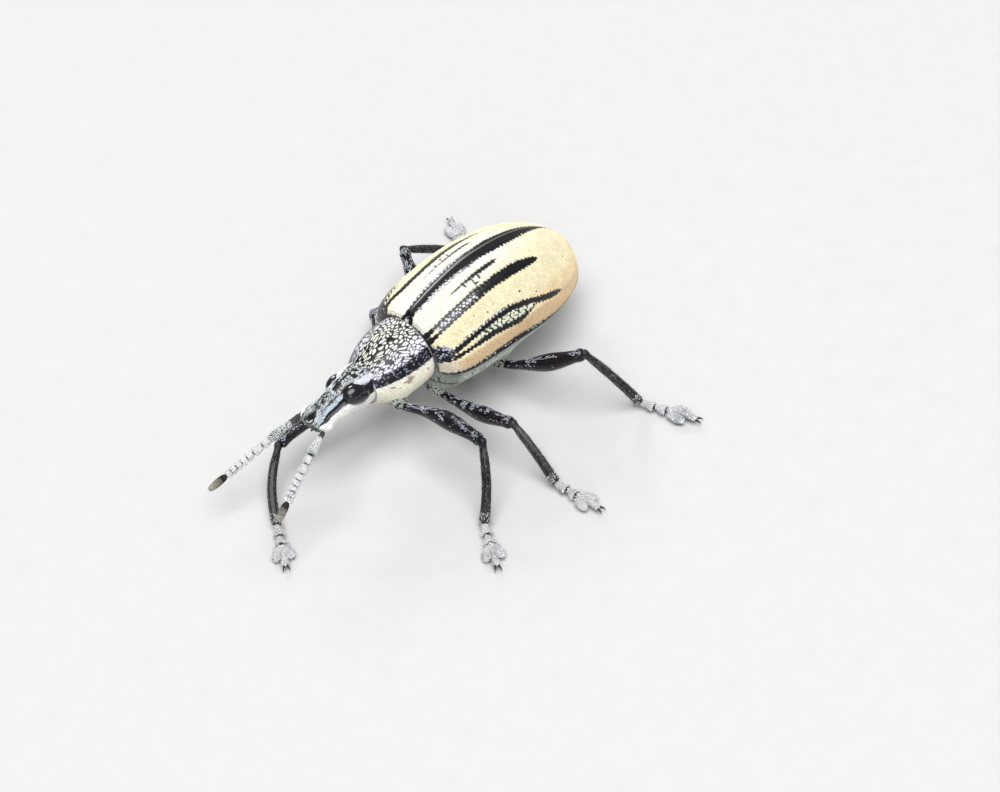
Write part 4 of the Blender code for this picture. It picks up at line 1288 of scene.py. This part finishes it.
def limb_coat(name, stations, place, slot, seed, number, size, tint, spread,
              hair=0, hair_tone=0.62, top=0.0):
    """Sparse scales and fine hairs over one limb.

    With top, the scales stand in loose groups along its upper side, and more of them at its
    far end.
    """
    rng = np.random.default_rng(seed)
    share = rng.uniform(*spread, number)
    turn = rng.normal(0.0, top, number) if top else any_turn(rng, number)
    # Scales kept to the upper side, as on the thighs, are partly real scales and partly painted glints of
    # light from above
    if top:
        crowded = cloud(share * 16, turn * 2.4 + seed, seed) + 0.8 * ramp(share, 0.88, 0.94) > 0.52
        share, turn = share[crowded], turn[crowded]
        number = len(share)
    roots, normal = limb_points(stations, share, turn)
    lie = LIMB_AXIS + rng.normal(0, 0.15, (number, 3))
    tints = np.clip(np.asarray(tint) * rng.uniform(0.7, 1.1, (number, 1)), 0, PALEST)
    length = rng.uniform(0.75, 1.2, number) * size
    width = length * (0.32 if top else 0.5)
    places = limb_chart(0.05, 0.4, share, turn)
    batches = [scales(roots, normal, lie, length, width, 0.009, 0.18, tints, places)]
    if hair:
        share = rng.uniform(spread[0], 0.98, hair)
        turn = any_turn(rng, hair)
        roots, normal = limb_points(stations, share, turn)
        heading = normal * 0.45 + LIMB_AXIS + rng.normal(0, 0.12, (hair, 3))
        tints = np.array((1.0, 1.0, 0.97)) * hair_tone * rng.uniform(0.6, 1.1, (hair, 1))
        places = limb_chart(0.55, 0.4, share, turn)
        batches.append(hairs(roots, heading, rng.uniform(0.10, 0.20, hair), 0.006, tints, places))
    coat(name, batches, place, SCALES, slot)


# Where each kind of leg leaves the body on the left, how its thigh bows, and half the
# thigh's thickness
LEG_KINDS = {
    "fore": ((1.30, -1.90, -2.97), (0.0, 0.08, 0.32), 0.47),
    "mid": ((1.40, 0.45, -3.68), (0.0, -0.10, -0.12), 0.43),
    "hind": ((1.90, 4.00, -4.00), (0.0, -0.25, -0.12), 0.46),
}
# Knee, ankle, tip of the foot on the floor, how far the shin bows out, and a factor for
# its thickness
LEGS = {
    "left_fore": ((6.25, -1.60, 3.05), (7.91, -3.56, 0.34), (10.30, -5.06), 0.20, 0.94),
    "left_mid": ((6.05, 0.51, 2.35), (8.74, 0.30, 0.34), (11.57, 0.50), 0.10, 0.94),
    "left_hind": ((6.35, 5.15, 3.42), (8.31, 6.55, 0.34), (11.41, 7.54), 0.10, 0.94),
    "right_fore": ((-2.00, -7.00, 1.75), (0.60, -9.70, 0.34), (2.90, -11.15), 0.30, 0.84),
    "right_mid": ((-5.50, 2.25, 1.25), (-5.35, 5.70, 0.34), (-4.85, 8.40), 0.10, 0.94),
    "right_hind": ((-6.50, 5.54, 2.60), (-5.95, 9.00, 0.34), (-8.75, 10.50), 0.10, 0.94),
}
HIP_STATIONS = ((-0.20, 0.30, 0.28), (-0.10, 0.44, 0.40), (0.10, 0.52, 0.47), (0.34, 0.50, 0.45),
                (0.54, 0.40, 0.36), (0.68, 0.26, 0.24), (0.74, 0.10, 0.10))
THIGH_SHARES = (0.0, 0.05, 0.12, 0.2, 0.3, 0.4, 0.5, 0.6, 0.7, 0.78, 0.86, 0.90, 0.93, 0.96, 0.98,
                0.995, 1.005)
SHIN_SHARES = (-0.05, -0.03, 0.0, 0.03, 0.06, 0.09, 0.16, 0.26, 0.4, 0.55, 0.7, 0.82, 0.91, 0.96,
               0.985, 0.995)
FOOT_LENGTH = 2.8
FOOT_SCALES = 640
JUST_ABOVE_FLOOR = 0.00002


def thigh_stations(length, thick, bow):
    rows = []
    for share in THIGH_SHARES:
        size = 0.22 + (thick - 0.24) * math.exp(-((share - 0.60) / 0.22) ** 2) + 0.06 * share
        size *= 1 - 0.25 * math.exp(-(share / 0.05) ** 2)
        size *= 1 + 0.20 * math.exp(-((share - 0.955) / 0.035) ** 2)
        if share > 0.95:
            size *= math.sqrt(max(0.06, 1 - ((share - 0.95) / 0.057) ** 2))
        shift = bow * math.sin(math.pi * share)
        rows.append((length * share, size, size * 0.90, shift.x, shift.y))
    return rows


def shin_stations(length, bow, slim):
    rows = []
    for share in SHIN_SHARES:
        size = 0.215 + 0.03 * min(1.0, max(0.0, share / 0.3)) + 0.045 * max(0.0, share) ** 3
        size *= 1 - 0.16 * math.exp(-((share - 0.075) / 0.03) ** 2)
        size *= slim * (1 + 0.22 * math.exp(-((share + 0.005) / 0.03) ** 2))
        if share < -0.04:
            size *= 0.55
        if share > 0.97:
            size *= 0.85 - 12 * (share - 0.985)
        shift = bow * math.sin(math.pi * min(1.0, max(0.0, share)))
        rows.append((length * share, size, size * 0.86, shift, 0))
    return rows


def model_foot():
    """The joints of one foot, drawn once along x with its sole at z = 0."""
    parts = []

    def add(stations, start, end, finish=TARSUS, sides=16):
        part = lay_down(drawn_limb("pad", stations, sides), start, end)
        part.data.materials.append(finish)
        parts.append(part)

    add(((-0.06, 0.10), (0.0, 0.14), (0.2, 0.17, 0.18), (0.42, 0.20, 0.25), (0.56, 0.21, 0.30),
         (0.60, 0.17, 0.27), (0.61, 0.10, 0.16), (0.58, 0.04, 0.06)), (0.0, 0, 0.33), (1.0, 0, 0.22))
    add(((0.0, 0.09, 0.10), (0.08, 0.13, 0.15), (0.25, 0.17, 0.25), (0.40, 0.18, 0.33),
         (0.46, 0.15, 0.32), (0.475, 0.09, 0.20), (0.45, 0.03, 0.07)), (0.68, 0, 0.28), (1.68, 0, 0.20))
    add(((0.0, 0.08, 0.09), (0.08, 0.13, 0.15), (0.24, 0.16, 0.24), (0.36, 0.13, 0.22),
         (0.40, 0.05, 0.10)), (1.21, 0, 0.25), (2.21, 0, 0.22))
    for side in (1, -1):
        add(((0.0, 0.10, 0.12), (0.12, 0.16, 0.19), (0.32, 0.20, 0.25), (0.56, 0.20, 0.26),
             (0.72, 0.16, 0.20), (0.80, 0.08, 0.10), (0.82, 0.02, 0.03)),
            (1.26, side * 0.13, 0.24), (2.08, side * 0.40, 0.21))
    # Slender last joint, and the dark skin between the joints
    add(((0.0, 0.08), (0.15, 0.10, 0.10, 0.02), (0.45, 0.13, 0.12, 0.05), (0.80, 0.17, 0.16, 0.05),
         (1.08, 0.18, 0.19, 0.02), (1.16, 0.13, 0.15), (1.19, 0.04, 0.05)),
        (1.30, 0, 0.30), (2.36, 0, 0.27), sides=14)
    for x, half in ((-0.06, 0.13), (0.62, 0.16), (1.15, 0.16), (1.36, 0.12)):
        add(((-0.08, half * 0.6), (-0.03, half), (0.05, half), (0.12, half * 0.6)),
            (x, 0, 0.28), (x + 1, 0, 0.26), JOINT, 10)
    return joined("foot_pattern", parts)


def model_claws():
    """The two hooked claws of one foot."""
    parts = []
    for side in (1, -1):
        claw = drawn_limb("claw", (
            (-0.05, 0.05), (0.03, 0.070, 0.060, 0.015), (0.10, 0.062, 0.052, 0.035),
            (0.17, 0.048, 0.040, 0.035), (0.23, 0.032, 0.027, 0.01), (0.28, 0.016, 0.014, -0.04),
            (0.31, 0.004, 0.004, -0.08)), 12)
        parts.append(lay_down(claw, (2.46, side * 0.07, 0.25), (2.86, side * 0.20, 0.20)))
    return joined("claw_pattern", parts)


foot_pattern = model_foot()
claw_pattern = model_claws()


def ridged(obj, stations, count, depth):
    """Raises long ridges along a drawn limb."""
    rows = np.array(stations)
    spots, _ = surface_points(obj)
    middles = [np.interp(spots[:, 2], rows[:, 0], rows[:, k]) for k in (3, 4)]
    dx, dy = (spots[:, k] - middles[k] for k in (0, 1))
    swell = 1 + depth * np.cos(count * np.arctan2(dy, dx))
    spots[:, 0], spots[:, 1] = middles[0] + dx * swell, middles[1] + dy * swell
    move_points(obj, spots)
    return obj


def foot_coat(leg, surface, stretch, place, seed):
    """Pale scales along the top of a foot, fanned out a little, and a fringe at its edge."""
    rng = np.random.default_rng(seed)
    spots, normals = surface
    x = spots[:, 0] / stretch
    between_pads = np.minimum(np.abs(x - 0.64), np.abs(x - 1.18)) < 0.035
    upper = np.flatnonzero((normals[:, 2] > -0.1) & (spots[:, 2] > 0.05) & ~between_pads)
    picked = rng.choice(upper, FOOT_SCALES)
    roots, normals = spots[picked], normals[picked]
    ahead, none = np.ones(FOOT_SCALES), np.zeros(FOOT_SCALES)
    heading = np.stack((ahead, roots[:, 1] * 1.2, none), -1) + rng.normal(0, 0.2, (FOOT_SCALES, 3))
    tints = np.array((0.70, 0.71, 0.72)) * rng.uniform(0.72, 1.08, (FOOT_SCALES, 1))
    places = np.stack((0.05 + 0.3 * roots[:, 0], 0.5 + 0.3 * roots[:, 1]), -1)
    length = rng.uniform(0.10, 0.17, FOOT_SCALES)
    batches = [scales(
        roots, normals, heading, length, 0.055, 0.012, 0.22, np.clip(tints, 0, PALEST), places)]
    edge = np.flatnonzero((np.abs(normals[:, 2]) < 0.5) & (roots[:, 2] < 0.25))
    fringe = heading[edge] * 0.6 + normals[edge] + np.array((0.0, 0.0, -0.1))
    batches.append(hairs(roots[edge], fringe, 0.11, 0.009, tints[edge], places[edge]))
    coat("foot_scales_" + leg, batches, place, SCALES, "tarsus")


def make_leg(side, kind, seed):
    leg = side + "_" + kind
    hip, thigh_bow, thick = LEG_KINDS[kind]
    knee, ankle, toe, shin_bow, slim = LEGS[leg]
    knee, ankle = Vector(knee), Vector(ankle)
    root = STAND @ mirrored(hip, SIDES[side])
    heading = (knee - root).normalized()

    seat = root + mirrored((-0.30, 0.0, 0.50), SIDES[side])
    place = OVER_FLOOR @ between(seat, root + heading * 0.2)
    coxa = drawn_limb("hip_" + leg, HIP_STATIONS, 18)
    settle(coxa, place)
    dress(coxa, COXA, "coxa")
    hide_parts("coxa_" + leg)
    limb_coat("hip_scales_" + leg, HIP_STATIONS, place, "coxa", seed + 3, 420, 0.13,
              (0.52, 0.55, 0.50), (0.10, 0.93))

    start = root + heading * 0.12
    place = between(start, knee)
    bow = place.to_3x3().inverted() @ Vector(thigh_bow)
    stations = thigh_stations((knee - start).length, thick - 0.01, bow)
    place = OVER_FLOOR @ place
    femur = drawn_limb("thigh_" + leg, stations, 20)
    settle(femur, place)
    dress(femur, FEMUR, "femur")
    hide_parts("femur_" + leg)
    # Pale bluish scales along the top of each thigh: partly real scales, partly painted glints of the light
    # from above
    limb_coat("thigh_scales_and_glints_" + leg, stations, place, "femur", seed, 640, 0.105,
              (0.50, 0.55, 0.64), (0.08, 0.975), 50, 0.4, 0.62)

    shin_heading = (ankle - knee).normalized()
    outer = (heading - shin_heading * heading.dot(shin_heading)).normalized()
    place = OVER_FLOOR @ between(knee, ankle, outer)
    length = (ankle - knee).length
    stations = shin_stations(length, shin_bow, slim)
    shin = ridged(drawn_limb("shin_" + leg, stations, 24), stations, 6, 0.04)
    spur = drawn_limb("spur", (
        (0.0, 0.07, 0.06), (0.08, 0.055, 0.05), (0.17, 0.03, 0.03, 0.01), (0.23, 0.006, 0.006, 0.02)), 10)
    lay_down(spur, (-0.20, 0.0, length - 0.12), (-0.34, 0.0, length + 0.10))
    shin.data.materials.append(TIBIA)
    spur.data.materials.append(SPUR)
    tibia = joined("shin_" + leg, [shin, spur])
    settle(tibia, place)
    keep_above(tibia, JUST_ABOVE_FLOOR)
    dress(tibia, None, "tibia")
    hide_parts("tibia_" + leg)
    limb_coat("shin_hairs_" + leg, stations, place, "tibia", seed + 1, 60, 0.070,
              (0.20, 0.22, 0.25), (0.10, 0.97), 420, 0.26)
    limb_coat("shin_scales_" + leg, stations, place, "tibia", seed + 4, 110, 0.095,
              (0.58, 0.58, 0.54), (0.87, 0.985))

    flat = Vector((toe[0] - ankle.x, toe[1] - ankle.y, 0.0))
    stretch = flat.length / FOOT_LENGTH
    turned = Matrix.Rotation(math.atan2(flat.y, flat.x), 4, "Z")
    sized = Matrix.Diagonal((stretch, 1.0, 1.0, 1.0))
    place = OVER_FLOOR @ Matrix.Translation((ankle.x, ankle.y, 0.0)) @ turned
    for pattern, word, cad, slot in ((foot_pattern, "foot", "tarsus", "tarsus"),
                                     (claw_pattern, "hooks", "claws", "claw")):
        made = twin(pattern)
        settle(made, sized)
        keep_above(made, 0.0)
        if word == "foot":
            foot_surface = surface_points(made)
        settle(made, place)
        named(made, word + "_" + leg)
        dress(made, None if word == "foot" else CLAW, slot)
        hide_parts(cad + "_" + leg)
    foot_coat(leg, foot_surface, stretch, place, seed + 2)


for number, (side, kind) in enumerate((side, kind) for side in SIDES for kind in LEG_KINDS):
    make_leg(side, kind, 300 + 10 * number)
bpy.data.objects.remove(foot_pattern)
bpy.data.objects.remove(claw_pattern)


# Feelers

# Base, elbow and tip of each feeler, and how many scales its shaft has
FEELERS = {
    "left": ((0.85, -6.21, -2.07), (1.68, -7.60, -1.84), (2.00, -10.09, -3.88), 1500),
    "right": ((-0.85, -6.20, -2.05), (-1.72, -7.30, -3.22), (-2.40, -10.59, -4.51), 620),
}
BEAD_SHARES = (1.15, 1.35, 0.85, 0.80, 0.75, 0.75, 0.75)
BEAD_SCALES = 60
CLUB_SHARE = 0.28
CLUB_HAIRS = 1200

# Half thickness of shaft, bead and club by shares of their length
SHAFT_ROWS = ((-0.12, 0.08), (-0.05, 0.14), (0.04, 0.12), (0.2, 0.145), (0.45, 0.175), (0.7, 0.21),
              (0.86, 0.225), (0.95, 0.20), (1.0, 0.13), (1.02, 0.05))
BEAD_ROWS = ((0.02, 0.08), (0.04, 0.13), (0.14, 0.17), (0.4, 0.200), (0.7, 0.222), (0.88, 0.220),
             (0.93, 0.185), (0.95, 0.09))
CLUB_ROWS = ((-0.05, 0.07), (0.02, 0.10), (0.10, 0.145), (0.28, 0.170), (0.35, 0.165), (0.38, 0.155),
             (0.41, 0.170), (0.58, 0.165), (0.63, 0.152), (0.65, 0.142), (0.68, 0.155), (0.84, 0.115),
             (0.95, 0.06), (1.0, 0.02))
NECK_STATIONS = ((-0.07, 0.06), (-0.04, 0.105), (0.04, 0.105), (0.07, 0.06))


def club_tint(share):
    """Dark brown at the club's base, then grey-brown felt with two dark rings and a pale tip."""
    ring = bell(share - 0.40, 0.025) + bell(share - 0.65, 0.025)
    return layered(
        (0.21, 0.19, 0.16),
        ((0.47, 0.46, 0.39), ramp(share, 0.35, 0.85)),
        ((0.022, 0.014, 0.010), ramp(0.34 - share, 0.0, 0.06)),
        ((0.05, 0.04, 0.035), np.clip(ring, 0, 1) * 0.6))


def make_feeler(word, seed):
    *ends, shaft_scales = FEELERS[word]
    base, elbow, tip = (STAND @ Vector(point) for point in ends)
    club_start = elbow.lerp(tip, 1 - CLUB_SHARE)
    long = (elbow - base).length
    stations = [(long * s, w, w * 0.95) for s, w in SHAFT_ROWS]
    place = OVER_FLOOR @ between(base, elbow)
    scape = drawn_limb("feeler_shaft_" + word, stations)
    settle(scape, place)
    dress(scape, SCAPE, "scape")
    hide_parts("scape_" + word)
    limb_coat("feeler_shaft_scales_" + word, stations, place, "scape", seed, shaft_scales, 0.10,
              (0.64, 0.66, 0.64), (0.30, 0.98), 40)

    unit_length = (club_start - elbow).length / sum(BEAD_SHARES)
    parts, batches = [], []
    reached = 0.0
    rng = np.random.default_rng(seed + 5)
    for share in BEAD_SHARES:
        long = share * unit_length
        stations = [(long * s, w) for s, w in BEAD_ROWS]
        for part, rows, sides, finish in (("bead", stations, 16, BEAD), ("neck", NECK_STATIONS, 12, JOINT)):
            made = drawn_limb(part, rows, sides)
            made.data.materials.append(finish)
            settle(made, Matrix.Translation((0, 0, reached)))
            parts.append(made)
        lot, turn = rng.uniform(0.15, 0.9, BEAD_SCALES), any_turn(rng, BEAD_SCALES)
        roots, normal = limb_points(stations, lot, turn)
        roots = roots + np.array((0, 0, reached))
        tints = np.array((0.80, 0.79, 0.81)) * rng.uniform(0.80, 1.08, (BEAD_SCALES, 1))
        lie = LIMB_AXIS + rng.normal(0, 0.12, (BEAD_SCALES, 3))
        places = limb_chart(0.1, 0.1, reached + lot, turn)
        batches.append(scales(roots, normal, lie, 0.12, 0.05, 0.008, 0.10, tints, places))
        reached += long
    place = OVER_FLOOR @ between(elbow, club_start)
    funicle = joined("feeler_beads_" + word, parts)
    settle(funicle, place)
    dress(funicle, None, "funicle")
    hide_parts("funicle_" + word)
    coat("feeler_beads_scales_" + word, batches, place, HAIRS, "funicle")

    long = (tip - club_start).length
    stations = [(long * s, w) for s, w in CLUB_ROWS]
    place = OVER_FLOOR @ between(club_start, tip)
    club = drawn_limb("feeler_club_" + word, stations)
    heights = surface_points(club)[0][:, 2]
    paint(club.data, 0 * heights, club_tint(heights / long) / SHADE_UNDER_SCALES)
    settle(club, place)
    dress(club, FELT, "club")
    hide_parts("club_" + word)
    rng = np.random.default_rng(seed + 7)
    lot, turn = rng.uniform(0.05, 0.97, CLUB_HAIRS), any_turn(rng, CLUB_HAIRS)
    roots, normal = limb_points(stations, lot, turn)
    tints = club_tint(lot) * rng.uniform(0.8, 1.5, (CLUB_HAIRS, 1))
    heading = normal * 0.25 + LIMB_AXIS
    batch = hairs(roots, heading, 0.10, 0.009, tints, limb_chart(0.1, 0.3, lot, turn))
    coat("feeler_club_hairs_" + word, [batch], place, HAIRS, "club")


make_feeler("left", 500)
make_feeler("right", 520)


# Floor and light

def flat_light(name, place, aim, size, watts, colour=(1.0, 1.0, 1.0)):
    deselect()
    bpy.ops.object.light_add(type="AREA", location=place)
    lamp = bpy.context.object
    lamp.name = name
    lamp.data.shape = "DISK"
    lamp.data.size = size
    lamp.data.energy = watts
    lamp.data.color = colour
    heading = Vector(aim) - Vector(place)
    lamp.rotation_euler = heading.to_track_quat("-Z", "Y").to_euler()


def light_the_scene():
    deselect()
    bpy.ops.mesh.primitive_plane_add(size=2.0)
    floor = named(bpy.context.object, "floor")
    floor.data.materials.append(
        limb_finish("floor_paper", (0.478, 0.478, 0.471), (0.496, 0.496, 0.489), 0.8))
    flat_light("key", (0.22, -0.10, 1.00), (0, 0, 0), 1.10, 17.6)
    flat_light("fill", (0.80, -0.60, 0.45), (0, 0, 0), 0.60, 1.8)
    flat_light("rim", (-0.75, 0.35, 0.45), (0, 0, 0), 0.25, 2.6)
    world = bpy.data.worlds.new("room")
    world.use_nodes = True
    world.node_tree.nodes["Background"].inputs[0].default_value = (0.92, 0.95, 1.0, 1.0)
    world.node_tree.nodes["Background"].inputs[1].default_value = 0.40
    bpy.context.scene.world = world
    bpy.context.scene.view_settings.view_transform = "Standard"


light_the_scene()
